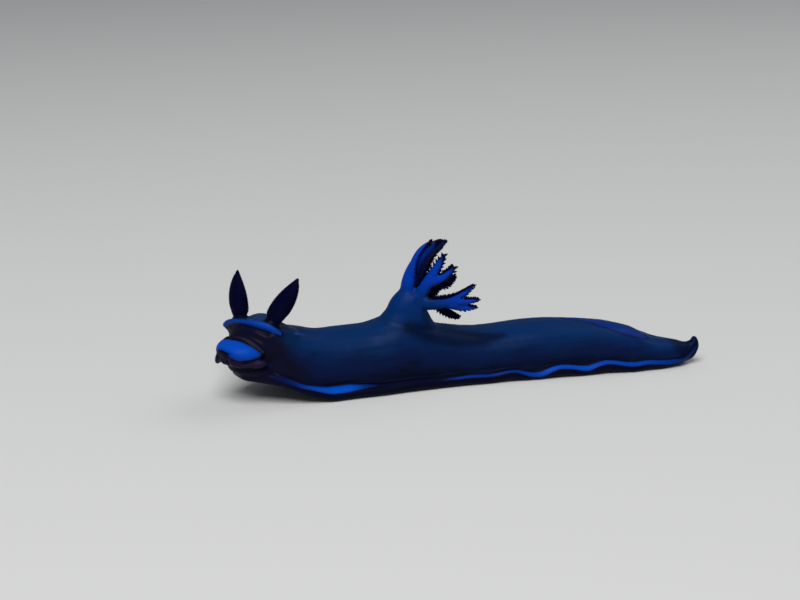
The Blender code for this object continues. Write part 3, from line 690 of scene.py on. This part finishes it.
NAPE_DASH = np.array((
    (-1.8, 3.9, 1.35, 0.04),
    (-2.5, 4.0, 1.35, 0.14),
    (-3.4, 4.2, 1.3, 0.10),
    (-4.2, 4.4, 1.3, 0.02),
))
# On the back: the place along the body, the degrees down the left side and the half width.
TAIL_PATCH = np.array((
    (14.5, -6.0, 0.15),
    (17.3, -5.0, 0.75),
    (19.1, 0.0, 1.15),
    (20.5, 5.0, 1.25),
    (22.0, 12.0, 1.15),
    (23.3, 15.0, 1.05),
    (24.4, 14.0, 0.75),
    (25.0, 12.0, 0.30),
))
# Painted shade on the back behind and under the gills, laid on both sides.
PLUME_SHADE = np.array((
    (-7.5, 32.0, 0.8),
    (-4.5, 32.0, 1.3),
    (-1.0, 32.0, 1.4),
    (2.5, 30.0, 1.0),
    (5.5, 28.0, 0.3),
))
LOBE_STRENGTH, PATCH_STRENGTH = 0.8, 0.32
SHEATH_REACH = 1.3 * MM
MARK_STEP, MARK_MARGIN, FAR_OUTSIDE = 0.08 * MM, 1.0 * MM, -9.0
POINTS_AT_ONCE = 4000

surface = kdtree.KDTree(len(points))
for i, spot in enumerate(points):
    surface.insert(spot, i)
surface.balance()


def settled(spots):
    """The skin's own points that lie closest to these."""
    return np.array([surface.find(spot)[0] for spot in spots])


def line_through(spots, *columns):
    """The places and the columns along a line through the spots, evenly and closely spaced."""
    reach = np.concatenate(((0,), np.cumsum(np.linalg.norm(np.diff(spots, axis=0), axis=1))))
    t = np.linspace(0, reach[-1], max(2, int(reach[-1] / MARK_STEP)))
    bend = np.stack([np.interp(t, reach, value) for value in spots.T], axis=-1)
    return bend, *(np.interp(t, reach, column) for column in columns)


def around(line, reach):
    """The skin's points in the box round a line, widened by the reach."""
    low, high = line.min(axis=0) - reach, line.max(axis=0) + reach
    return np.flatnonzero(np.all((points > low) & (points < high), axis=1))


def inside(line, width, *others):
    """How far each point of the skin lies inside the mark's edge, and its other values there."""
    deep = np.full(len(points), FAR_OUTSIDE)
    found = [np.zeros(len(points)) for _ in others]
    near = around(line, width.max() + MARK_MARGIN)
    for part in np.array_split(near, max(1, len(near) // POINTS_AT_ONCE)):
        gap = width - np.linalg.norm(points[part, None] - line, axis=2)
        best = gap.argmax(axis=1)
        deep[part] = gap[np.arange(len(part)), best] / MM
        for values, other in zip(found, others):
            values[part] = other[best]
    return deep, *found


def head_mark(table):
    return inside(*line_through(head_spot(table[:, :3]), table[:, 3] * MM))[0]


def settled_mark(table, side):
    """A narrow mark on the head, laid on the skin itself."""
    return inside(*line_through(settled(head_spot(table[:, :3], side)), table[:, 3] * MM))[0]


def back_mark(table, side=1):
    """How far each point lies inside a mark on the back that follows the trunk's own curve."""
    x = table[:, 0] * MM
    across, height = flank_outline(x, FOOT_THICKNESS)
    turn = np.linspace(0, np.pi, FLANK_SIDES + 1)
    where = np.pi / 2 + np.radians(table[:, 1]) * side
    picked = [np.array([np.interp(a, turn, row) for a, row in zip(where, rows)]) for rows in (across, height)]
    line = placed(x, picked[0][:, None], picked[1][:, None])[:, 0]
    return inside(*line_through(line, table[:, 2] * MM))[0]


def foot_line(side):
    """The line along the foot's margin on one side, with its half width and its strength."""
    x = spaced(FOOT_LINE[0, 0] * MM, FOOT_LINE[-1, 0] * MM)
    share, width, strength = (np.interp(x / MM, FOOT_LINE[:, 0], column) for column in FOOT_LINE[:, 1:].T)
    across, height = foot_side(x, side)
    across = across * foot_narrow(x)
    rim, crease = across[:, FOOT_RIM], across[:, FOOT_CREASE]
    shelf = crease + (rim - crease) * share
    outwards = height[:, FOOT_CREASE:FOOT_RIM - 1:-1]
    level = np.array([np.interp(s, (0, 0.6, 0.9, 1), row) for s, row in zip(share, outwards)])
    line = placed(x, shelf[:, None], level[:, None])[:, 0]
    end, out, up = np.array(TAIL_LINE).T * MM
    middle = STATIONS.y[-1] + (end - STATIONS.x[-1]) * TAIL_SWEEP[1] / TAIL_SWEEP[0]
    curl = settled(ORIGIN + np.stack((end, middle + out * side, up), axis=-1))
    fade = np.linspace(0.95, 0.5, len(curl))
    whole = line_through(
        np.concatenate((line, curl)),
        np.concatenate((width, width[-1] * fade)) * MM,
        np.concatenate((strength, strength[-1] * fade)),
    )
    past = whole[0][:, 0] > line[-1, 0]
    whole[0][past] = settled(whole[0][past])
    return whole


blue = np.full(len(points), FAR_OUTSIDE)
strength = np.zeros(len(points))
for side in (1, -1):
    deep, here_strength = inside(*foot_line(side))
    strength = np.where(deep > blue, here_strength, strength)
    blue = np.maximum(blue, deep)
brow_places, brow_thick = brow_line(BROW_BAND_DEPTH)
brow_strength = np.linspace(*BROW_BAND_STRENGTH, len(brow_places))
for deep, how_strong in (
    inside(brow_places, (brow_thick + BROW_BAND_EDGE) * MM, brow_strength),
    (head_mark(LOBE), LOBE_STRENGTH),
    (head_mark(LOBE_FOOT), LOBE_STRENGTH),
    (back_mark(TAIL_PATCH), PATCH_STRENGTH),
):
    strength = np.where(deep > blue, how_strong, strength)
    blue = np.maximum(blue, deep)
# The painted shade and shadow, kept as the attribute shade: behind the gills, over the tail's end and under
# the near rear gill at the stalk.
shade = np.maximum(back_mark(PLUME_SHADE), back_mark(PLUME_SHADE, -1))
for table in (TAIL_SHADE, STALK_SHADOW, STALK_SHADOW * (1, -1, 1, 1)):
    painted_shade = inside(*line_through(ORIGIN + table[:, :3] * MM, table[:, 3] * MM))[0]
    shade = np.maximum(shade, painted_shade)
sheath = np.full(len(points), FAR_OUTSIDE)
for side in (1, -1):
    line = curve_at(rhinophore_line(side), np.linspace(0, SHEATH_END * 1.5, 8))[0]
    sheath = np.maximum(sheath, inside(*line_through(line, np.full(len(line), SHEATH_REACH)))[0])

# Where a point lies in the plume: how far up it is, and how far it is on a gill's outer face. A tip darkens
# over that span of its branch, by so much, and the front gill counts as turned further outwards.
BRANCH_FROM, BRANCH_STEPS, BRANCH_REACH = 0.12, 40, 0.9 * MM
PLUME_ROOT, PLUME_RISE = 1.2, 5.0
FRONT_TIP, OTHER_TIPS = ((0.76, 0.96), 1.5, 0.4), ((0.74, 0.94), 1.1, 0.0)

on_head = body[:, 0] < TRUNK_FRONT / 2
plume = (body[:, 2] - GILL_CENTRE_AT[2]) / MM
plume[on_head] = FAR_OUTSIDE
facing = np.ones(len(points))
closest = np.full(len(points), BRANCH_REACH)
for name in BRANCHES:
    lines = branch_lines(name)
    outward = gill_outward(lines[0])
    tip, darkness, turned = FRONT_TIP if name == "gill_front" else OTHER_TIPS
    for line in lines:
        places = curve_at(line, np.linspace(BRANCH_FROM, 1, BRANCH_STEPS))[0]
        near = around(places, MARK_MARGIN)
        gap = np.linalg.norm(points[near, None] - places, axis=2)
        best = gap.argmin(axis=1)
        gap = gap[np.arange(len(near)), best]
        fresh = gap < closest[near]
        near, best, gap = near[fresh], best[fresh], gap[fresh]
        closest[near] = gap
        share = best / BRANCH_STEPS
        facing[near] = normals[near] @ outward + turned - ramp(share, *tip) * darkness
        plume[near] = np.maximum(plume[near], PLUME_ROOT + PLUME_RISE * share)

# The head's top, from the brow back to the neck: 1 on it and 0 below. Its upward faces are painted lighter,
# partly their own colour and partly painted top light.
CROWN_HEIGHT, CROWN_TILT = (2.75, 3.25), (0.0, 0.4)
raised = (points - HEAD_CENTRE) @ CROWN / MM
crown = ramp(raised, *CROWN_HEIGHT) * ramp(normals @ CROWN, *CROWN_TILT) * on_head

values = {
    "blue": blue,
    "crown": crown,
    "strength": strength,
    "rim": head_mark(LOBE_RIM),
    "blush": head_mark(LIP_BLUSH),
    "dash": np.maximum(settled_mark(NAPE_DASH, 1), settled_mark(NAPE_DASH, -1)),
    "shade": shade,
    "sheath": sheath,
    "lying": lying,
    "plume": plume,
    "facing": facing,
}
for name, column in values.items():
    skin.data.attributes.new(name, "FLOAT", "POINT").data.foreach_set("value", column)


class Value:
    """A socket in arithmetic: each operator adds the Math node that works it out."""

    def __init__(self, finish, socket):
        self.finish = finish
        self.socket = socket

    def math(self, operation, *others):
        return self.finish.node("ShaderNodeMath", {"operation": operation}, dict(enumerate(others)))

    def __add__(self, other):
        return self.math("ADD", self, other)

    def __sub__(self, other):
        return self.math("SUBTRACT", self, other)

    def __mul__(self, other):
        return self.math("MULTIPLY", self, other)

    def __rsub__(self, other):
        return self.math("SUBTRACT", other, self)

    __radd__ = __add__
    __rmul__ = __mul__


class Finish:
    """A material under construction, and the nodes that its values come from."""

    def __init__(self, name):
        self.material = bpy.data.materials.new(name)
        self.material.use_nodes = True
        self.tree = self.material.node_tree
        self.shader = self.tree.nodes["Principled BSDF"]

    def put(self, socket, value):
        if isinstance(value, Value):
            self.tree.links.new(value.socket, socket)
        else:
            socket.default_value = value

    def node(self, kind, settings=None, sockets=None, output=0):
        """Adds a node: its settings are set first, then the values or links of its sockets."""
        made = self.tree.nodes.new(kind)
        for setting, value in (settings or {}).items():
            setattr(made, setting, value)
        for socket, value in (sockets or {}).items():
            self.put(made.inputs[socket], value)
        return Value(self, made.outputs[output])

    def set(self, **sockets):
        """Sets the shader's own sockets, named with underscores for spaces."""
        for socket, value in sockets.items():
            name = socket.replace("_", " ").title().replace("Ior", "IOR")
            self.put(self.shader.inputs[name], value)

    def attribute(self, name):
        return self.node("ShaderNodeAttribute", {"attribute_name": name}, output="Fac")

    def spots(self, stretch=(1, 1, 1)):
        """Object coordinates in millimetres, stretched along the body by the numbers given."""
        place = self.node("ShaderNodeTexCoord", output="Object")
        scale = [1 / (MM * share) for share in stretch]
        return self.node("ShaderNodeVectorMath", {"operation": "MULTIPLY"}, {0: place, 1: scale})

    def grain(self, size, stretch=(1, 1, 1), detail=3.0):
        """Smooth noise from 0 to 1 whose lumps are about that many millimetres."""
        sockets = {"Vector": self.spots(stretch), "Scale": 1 / size, "Detail": detail, "Roughness": 0.55}
        return self.node("ShaderNodeTexNoise", {}, sockets, "Fac")

    def step(self, value, low, high):
        """0 below the low value and 1 above the high one, with a smooth change between them."""
        sockets = {"Value": value, "From Min": low, "From Max": high}
        return self.node("ShaderNodeMapRange", {"interpolation_type": "SMOOTHSTEP"}, sockets)

    def mix(self, share, first, second):
        """A colour between two others."""
        return self.node("ShaderNodeMix", {"data_type": "RGBA"}, {0: share, 6: first, 7: second}, 2)

    def bumps(self, height, depth):
        """Fine relief of that many millimetres, fed to the shader."""
        sockets = {"Height": height, "Distance": depth * MM, "Strength": 1.0}
        self.put(self.shader.inputs["Normal"], self.node("ShaderNodeBump", {}, sockets))


def tint(*levels):
    """A colour given as it looks on a screen, from 0 to 255."""
    return *(((level / 255 + 0.055) / 1.055) ** 2.4 if level > 10 else level / 3295 for level in levels), 1


# The skin's finish: blue black with a dim blue back, near black flanks and face, vivid blue marks that are
# edged with black. The back's lighter blue over the darker flanks is partly the hide's own colour and partly
# painted top light.
hide = Finish("moist_hide")
mottle = hide.grain(1.6, (2.5, 1, 1))
streak = hide.grain(0.45, (9, 1, 1), detail=4.0)
speck = hide.grain(0.16, detail=2.0)
# Lighter and bluer up the body and darker down the flanks: partly the hide's own colour and partly painted
# top light.
lie = hide.attribute("lying") + (mottle - 0.5) * 0.3 + (streak - 0.5) * 0.3
colour = hide.mix(hide.step(lie, 0.2, 0.5), tint(4, 8, 30), tint(8, 24, 62))
colour = hide.mix(hide.step(lie, 0.5, 0.95), colour, tint(6, 42, 90))
along_body = hide.node("ShaderNodeSeparateXYZ", {}, {0: hide.spots()})
slant = hide.step(hide.attribute("lying"), 0.3, 1.0) * 3
gloom = hide.step(along_body + slant + (mottle - 0.5) * 4, -18.6, -23.0)
on_crown = hide.attribute("crown")
colour = hide.mix(gloom * (1 - on_crown), colour, tint(14, 13, 38))
# On the head's upward faces the face's near black gives way to grey blue: partly their own colour and partly
# painted top light.
colour = hide.mix(gloom * on_crown, colour, tint(26, 50, 88))

# Soft washes of colour, one over the other. For each, its mark, the grain that frays its edge and by how
# much, where it starts and where it is full inside the mark's edge, how much it covers, and its colour.
Wash = namedtuple("Wash", "mark grain fray start full cover colour")
for wash in (
    # The wash named shade lays the painted shade and shadow.
    Wash("shade", mottle, 0.8, -0.7, 0.5, 0.75, tint(3, 7, 30)),
    Wash("rim", speck, 0.1, -0.15, 0.12, 1.0, tint(46, 42, 52)),
    Wash("blush", mottle, 0.4, -0.5, 0.3, 1.0, tint(34, 22, 52)),
    Wash("sheath", speck, 0.2, -0.25, 0.1, 1.0, tint(4, 5, 24)),
    Wash("dash", speck, 0.0, -0.16, 0.1, 1.0, tint(20, 66, 158)),
):
    deep = hide.attribute(wash.mark) + (wash.grain - 0.5) * wash.fray
    colour = hide.mix(hide.step(deep, wash.start, wash.full) * wash.cover, colour, wash.colour)

in_plume = hide.attribute("plume")
turned_out = hide.attribute("facing")
outer = hide.mix(hide.step(in_plume, 1.5, 4.5), tint(3, 44, 106), tint(2, 56, 168))
inner = hide.step(turned_out + (streak - 0.5) * 0.3, 0.15, -0.35)
edges = hide.step(turned_out + (mottle - 0.5) * 0.5, 0.75, 0.1)
outer = hide.mix(edges * 0.7, outer, tint(2, 26, 92))
flesh = hide.mix(inner, outer, tint(2, 3, 26))
colour = hide.mix(hide.step(in_plume + (mottle - 0.5) * 0.8, -1.5, 1.2), colour, flesh)
edge =hide.attribute("blue") + (streak - 0.5) * 0.16 + (speck - 0.5) * 0.08
shown = hide.attribute("strength")
colour = hide.mix(hide.step(edge, -0.5, -0.05) * hide.step(shown, 0.0, 0.25) * 0.75, colour, tint(3, 4, 26))
bright = hide.mix(shown, tint(1, 19, 84), tint(2, 78, 196))
bright = hide.mix(hide.step(edge, 0.4, 0.0) * 0.5, bright, tint(3, 36, 110))
colour = hide.mix(hide.step(edge, -0.08, 0.08) * hide.step(shown, 0.05, 0.45), colour, bright)
hide.set(base_color=colour, roughness=hide.step(speck, 0.2, 0.8) * 0.16 + 0.36)
hide.set(specular_ior_level=0.04, coat_weight=0.012, coat_roughness=0.2)
hide.bumps(speck * 0.6 + streak * 0.8, 0.022)
skin.data.materials.clear()
skin.data.materials.append(hide.material)
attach(skin, "root")
FLESH = [name for name in frame["nodes"] if not name.startswith(("gill_", "rhinophore_"))]
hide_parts("gill_stalk", *FLESH)

# The pinnules, the leaflets that a gill breathes with. Each is a thin tapered blade with small side lobes,
# made once and set in close rows along both edges and the inner face of every branch.
PINNULE_WIDTH, PINNULE_DEPTH = 0.18 * MM, 0.06 * MM
PINNULE_SHAPE = 1.1, 0.9, 0.7, 0.2
SPIKE_SHAPE = 0.85, 0.8, 0.65, 0.25
LEAF_STEP, LEAF_FOOT = 0.2, 0.5
LOBED, LOBE_REACH, LOBE_LEAN, LOBE_SIZE = (0.1, 0.85), 0.06 * MM, 0.12, 0.4
PINNULE_BEND, PINNULE_SINK = 0.12, 0.1 * MM
# A branch's length beside its two straight lines, where its rows end, the share of its flesh on which they
# stand, how far they lean onwards at its root and how much more at its tip, and their swelling on the way.
CURVE_SHARE, LAST_LEAF, FLESH_SHARE, ONWARDS, TIP_ONWARDS = 0.92, 0.985, 0.8, 0.5, 1.3
SWELL_START, SWELL_SPAN = 0.2, 0.62
# How unevenly the leaflets stand: by place in their row, by degrees, onwards and in size.
STAGGER, UNEVEN_PLACE, UNEVEN_TURN, UNEVEN_LEAN, UNEVEN_SIZE = 0.25, 0.1, 5, 0.05, (0.88, 1.08)
MAIN_START, FORK_START = 0.2, 0.3
# Rows of pinnules: the degrees from a branch's edge towards its inner face where their roots lie, the same
# for the way they point, their length at the branch's root and tip, and how broad and how closely set they
# are beside the others. The edge's are separate spikes, and the others a close pile.
Row = namedtuple("Row", "root way long short broad pitch")
ROWS = (
    Row(2, 6, 0.8 * MM, 0.7 * MM, 2.0, 1.0),
    Row(32, 42, 1.1 * MM, 0.55 * MM, 1.0, 0.6),
    Row(62, 75, 1.5 * MM, 0.6 * MM, 1.0, 0.6),
)
# For each gill, its spikes' pitch, the share of its length where they start, and the size of its spikes and
# of the others on its main branch and on its forks. The front gill has short spikes and a long close pile,
# which make one dark fan.
Fan = namedtuple("Fan", "pitch spiked spikes main fork")
FANS = {
    "gill_front": Fan(0.26 * MM, 0.75, 0.3, 1.55, 0.22),
    "gill_left_fore": Fan(0.5 * MM, 0.45, 1.0, 0.7, 0.65),
    "gill_right_fore": Fan(0.4 * MM, 0.3, 0.7, 1.0, 0.85),
    "gill_left_rear": Fan(0.5 * MM, 0.35, 1.0, 0.7, 0.65),
    "gill_right_rear": Fan(0.38 * MM, 0.3, 0.75, 0.85, 0.8),
}


def make_pinnule(shape, lobed):
    """One leaflet of unit length along Z, flat across X, with or without lobes drawn out of its two edges."""
    bpy.ops.object.select_all(action="DESELECT")
    bpy.ops.mesh.primitive_cube_add(size=1, location=(0, 0, LEAF_STEP / 2), scale=(1, 1, LEAF_STEP))
    leaf = bpy.context.object
    bpy.ops.object.transform_apply(location=True, rotation=True, scale=True)
    bpy.ops.object.mode_set(mode="EDIT")
    bpy.ops.mesh.select_mode(type="FACE")
    bpy.ops.mesh.select_all(action="DESELECT")
    bpy.ops.object.mode_set(mode="OBJECT")
    for face in leaf.data.polygons:
        face.select = face.normal.z > 0.9
    bpy.ops.object.mode_set(mode="EDIT")
    for size in shape:
        bpy.ops.mesh.extrude_region_move(TRANSFORM_OT_translate={"value": (0, 0, LEAF_STEP)})
        bpy.ops.transform.resize(value=(size, size, 1))
    bpy.ops.object.mode_set(mode="OBJECT")
    for face in leaf.data.polygons:
        face.select = lobed and abs(face.normal.x) > 0.5 and LOBED[0] < face.center.z < LOBED[1]
    if lobed:
        bpy.ops.object.mode_set(mode="EDIT")
        bpy.ops.mesh.extrude_faces_move()
        bpy.ops.object.mode_set(mode="OBJECT")
    moved = set()
    for face in leaf.data.polygons:
        if face.select:
            centre = face.center.copy()
            outward = math.copysign(LOBE_REACH / PINNULE_WIDTH, centre.x)
            for i in set(face.vertices) - moved:
                moved.add(i)
                corner = leaf.data.vertices[i]
                corner.co = centre + (corner.co - centre) * LOBE_SIZE + Vector((outward, 0, LOBE_LEAN))
    for corner in leaf.data.vertices:
        corner.co.x *= LEAF_FOOT if corner.co.z < 0.01 else 1.0
        corner.co.y -= PINNULE_BEND / PINNULE_DEPTH * MM * corner.co.z ** 2
    leaf.data.attributes.new("reach", "FLOAT", "POINT").data.foreach_set(
        "value", [min(1.0, corner.co.z + 0.3 * abs(corner.co.x)) for corner in leaf.data.vertices]
    )
    return leaf


def fringe(line, outward, taper, start, fan, share, draw):
    """Copies of the leaflets in rows along one limb of a gill, from that share of its length to its tip."""
    root, tip = np.array(taper) * MM / 2
    length = np.linalg.norm(np.diff(line, axis=0), axis=1).sum() * CURVE_SHARE
    leaves = []
    for row in ROWS:
        if row is ROWS[0]:
            leaf, first, big = spike, max(start, fan.spiked), fan.spikes
        else:
            leaf, first, big = pinnule, start, share
        count = round(length * (1 - first) / (fan.pitch * row.pitch))
        for side in (1, -1):
            for i in range(count):
                order = i + 0.5 + STAGGER * side + draw.uniform(-UNEVEN_PLACE, UNEVEN_PLACE)
                t = min(first + (1 - first) * order / count, LAST_LEAF)
                place, run = curve_at(line, t)
                across = unit(np.cross(run, outward)) * side
                inward = np.cross(run, across) * side
                tip_round = math.sqrt(1 - max(0.0, 5 * t - 4) ** 2)
                width, depth = (root + (tip - root) * t) * FLESH_SHARE * tip_round
                at = math.radians(row.root)
                turn = math.radians(row.way + draw.uniform(-UNEVEN_TURN, UNEVEN_TURN))
                onwards = ONWARDS + TIP_ONWARDS * t ** 3 + draw.uniform(-UNEVEN_LEAN, UNEVEN_LEAN)
                way = unit(across * math.cos(turn) + inward * math.sin(turn) + run * onwards)
                foot = place + across * width * math.cos(at) + inward * depth * math.sin(at)
                foot = foot - way * PINNULE_SINK
                swell = math.sin(math.pi * (SWELL_START + SWELL_SPAN * t)) ** 0.5
                size = (row.long + (row.short - row.long) * t) * swell * big * draw.uniform(*UNEVEN_SIZE)
                flat = unit(np.cross(way, run))
                broad = np.cross(flat, way)
                turned = Matrix((broad * PINNULE_WIDTH * row.broad, flat * PINNULE_DEPTH, way * size))
                copy = leaf.copy()
                copy.data = leaf.data.copy()
                copy.data.transform(Matrix.Translation(foot) @ turned.transposed().to_4x4())
                bpy.context.collection.objects.link(copy)
                leaves.append(copy)
    return leaves


gill = Finish("gill_pinnules")
reach = gill.attribute("reach") + (gill.grain(0.5) - 0.5) * 0.5
leaf_colour = gill.mix(gill.step(reach, 0.0, 0.55), tint(3, 36, 118), tint(2, 6, 42))
gill.set(base_color=leaf_colour, roughness=0.55, specular_ior_level=0.04)
gill.bumps(gill.grain(0.1, detail=2.0), 0.01)
pinnule = make_pinnule(PINNULE_SHAPE, lobed=True)
spike = make_pinnule(SPIKE_SHAPE, lobed=False)
for name in BRANCHES:
    draw = random.Random(name)
    fan = FANS[name]
    lines = branch_lines(name)
    leaves = []
    for i, line in enumerate(lines):
        start, share = (FORK_START, fan.fork) if i else (MAIN_START, fan.main)
        leaves += fringe(line, gill_outward(lines[0]), gill_taper(name, i), start, fan, share, draw)
    pinnules = joined(name + "_pinnules", leaves)
    pinnules.data.materials.append(gill.material)
    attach(pinnules, "root")
    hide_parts(name)
bpy.data.objects.remove(pinnule)
bpy.data.objects.remove(spike)

# The rhinophores, the two scent organs on the head. A solid club carries thin slanted leaves all the way
# round, and its stalk stands in the sheath. Each is one sheet rolled over rings that swell at each leaf.
CLUB_WIDTH, CLUB_DEPTH, CLUB_CORE = 2.84 * MM, 2.14 * MM, 0.94
LAMELLAE, LAMELLA_RINGS, LAMELLA_SLANT = 30, 8, math.radians(26)
LAMELLAE_FROM, LAMELLAE_TO = 0.26, 0.95
LAMELLA_FADES, LAMELLA_SHARPNESS, BARE_SWELL = (12, 14), 1.5, 0.35
CLUB_SIDES = 56
# The club swells along a skewed curve that starts part of the way in, and is slimmer towards its neck. The
# slant of its leaves comes on along the neck and dies out before the tip.
CLUB_START, CLUB_SKEW, CLUB_FULLNESS = 0.22, 1.15, 0.8
NECK_FROM, NECK_RINGS, NECK_SLIMNESS, NECK_SPAN = 0.08, 10, 0.72, (0.1, 0.3)
CLUB_TIP, CLUB_TIP_RINGS = 0.2, (0.8, 0.6, 0.4, 0.25, 0.13, 0.05, 0.01)
TIP_ROUNDING, TIP_UPRIGHT = (1.0, 0.96), (1.0, 0.875)


def make_rhinophore(name, side):
    span = LAMELLAE_TO - LAMELLAE_FROM
    neck = np.linspace(NECK_FROM, LAMELLAE_FROM, NECK_RINGS)[:-1]
    leafy = np.linspace(LAMELLAE_FROM, LAMELLAE_TO, LAMELLAE * LAMELLA_RINGS + 1)
    tip = 1 - (1 - LAMELLAE_TO) * np.array(CLUB_TIP_RINGS)
    t = np.concatenate((neck, leafy, tip))
    places, run = curve_at(rhinophore_line(side), t)
    across = unit(np.cross(run, FORWARD))
    out = np.cross(across, run)
    leaf = np.sin(np.pi * (CLUB_START + (1 - CLUB_START) * t) ** CLUB_SKEW) ** CLUB_FULLNESS
    leaf = leaf * (NECK_SLIMNESS + (1 - NECK_SLIMNESS) * ramp(t, *NECK_SPAN))
    leaf = np.maximum(leaf, CLUB_TIP * np.sqrt(ramp(t, *TIP_ROUNDING)))
    phase = (t - LAMELLAE_FROM) / span * LAMELLAE
    below, above = (t - LAMELLAE_FROM) * LAMELLA_FADES[0], (LAMELLAE_TO - t) * LAMELLA_FADES[1]
    ends = np.clip(below, 0, 1) * np.clip(above, 0, 1)
    blade = np.abs(np.cos(np.pi * phase)) ** LAMELLA_SHARPNESS * ends
    blade = np.where((t > LAMELLAE_FROM) & (t < LAMELLAE_TO), blade, BARE_SWELL)
    swell = leaf * (CLUB_CORE + (1 - CLUB_CORE) * blade)
    slant = side * math.tan(LAMELLA_SLANT) * ramp(t, *NECK_SPAN) * ramp(t, *TIP_UPRIGHT)
    leaning = across + run * slant[:, None]
    wide, deep = CLUB_WIDTH / 2 * swell, CLUB_DEPTH / 2 * swell
    club = rolled(name, ovals(places, leaning, out, wide, deep, CLUB_SIDES))
    bpy.ops.object.shade_smooth()
    return club


scent = Finish("rhinophore_skin")
scent_speck = scent.grain(0.2, detail=2.0)
scent.set(base_color=scent.mix(scent_speck, tint(3, 4, 28), tint(7, 8, 46)))
scent.set(roughness=0.55, specular_ior_level=0.02)
scent.bumps(scent_speck, 0.012)
for side, word in ((1, "left"), (-1, "right")):
    club = make_rhinophore("rhinophore_club_" + word, side)
    club.data.materials.append(scent.material)
    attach(club, "root")
    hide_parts("rhinophore_" + word)

# The floor, the light and the camera of the picture.
CAMERA_TURN, CAMERA_RISE, CAMERA_REACH = math.radians(-15), math.radians(18), 204 * MM
PIXEL, PIXELS_RIGHT, PIXELS_UP = 0.131 * MM, -57, 72
RIGHT_IN_VIEW, UP_IN_VIEW = np.array((0.966, -0.2588, 0)), np.array((0.08, 0.2985, 0.951))
LAMPS = ((-0.15, -0.3, 0.5), 0.35, 3.0), ((0.35, 0.15, 0.4), 0.3, 0.4)

target = ORIGIN + RIGHT_IN_VIEW * PIXELS_RIGHT * PIXEL + UP_IN_VIEW * PIXELS_UP * PIXEL
back = Vector((
    math.sin(CAMERA_TURN) * math.cos(CAMERA_RISE),
    -math.cos(CAMERA_TURN) * math.cos(CAMERA_RISE),
    math.sin(CAMERA_RISE),
))
bpy.ops.object.camera_add(location=Vector(target) + back * CAMERA_REACH)
camera = bpy.context.object
camera.rotation_euler = (-back).to_track_quat("-Z", "Y").to_euler()
camera.data.lens = 70
camera.data.clip_start, camera.data.clip_end = 0.01, 20
bpy.context.scene.camera = camera

bpy.ops.mesh.primitive_plane_add(size=6)
floor = bpy.context.object
floor.name = "floor"
plain = Finish("floor_paint")
plain.set(base_color=(0.7, 0.7, 0.68, 1), roughness=0.85)
floor.data.materials.append(plain.material)

bpy.context.scene.view_settings.view_transform = "Standard"
world = bpy.data.worlds.new("studio")
bpy.context.scene.world = world
world.use_nodes = True
sky = world.node_tree.nodes["Background"].inputs
sky["Color"].default_value = (0.8, 0.86, 0.95, 1)
sky["Strength"].default_value = 0.2

for place, size, power in LAMPS:
    bpy.ops.object.light_add(type="AREA", location=place)
    lamp = bpy.context.object
    lamp.data.size = size
    lamp.data.energy = power
    lamp.rotation_euler = (-Vector(place)).to_track_quat("-Z", "Y").to_euler()
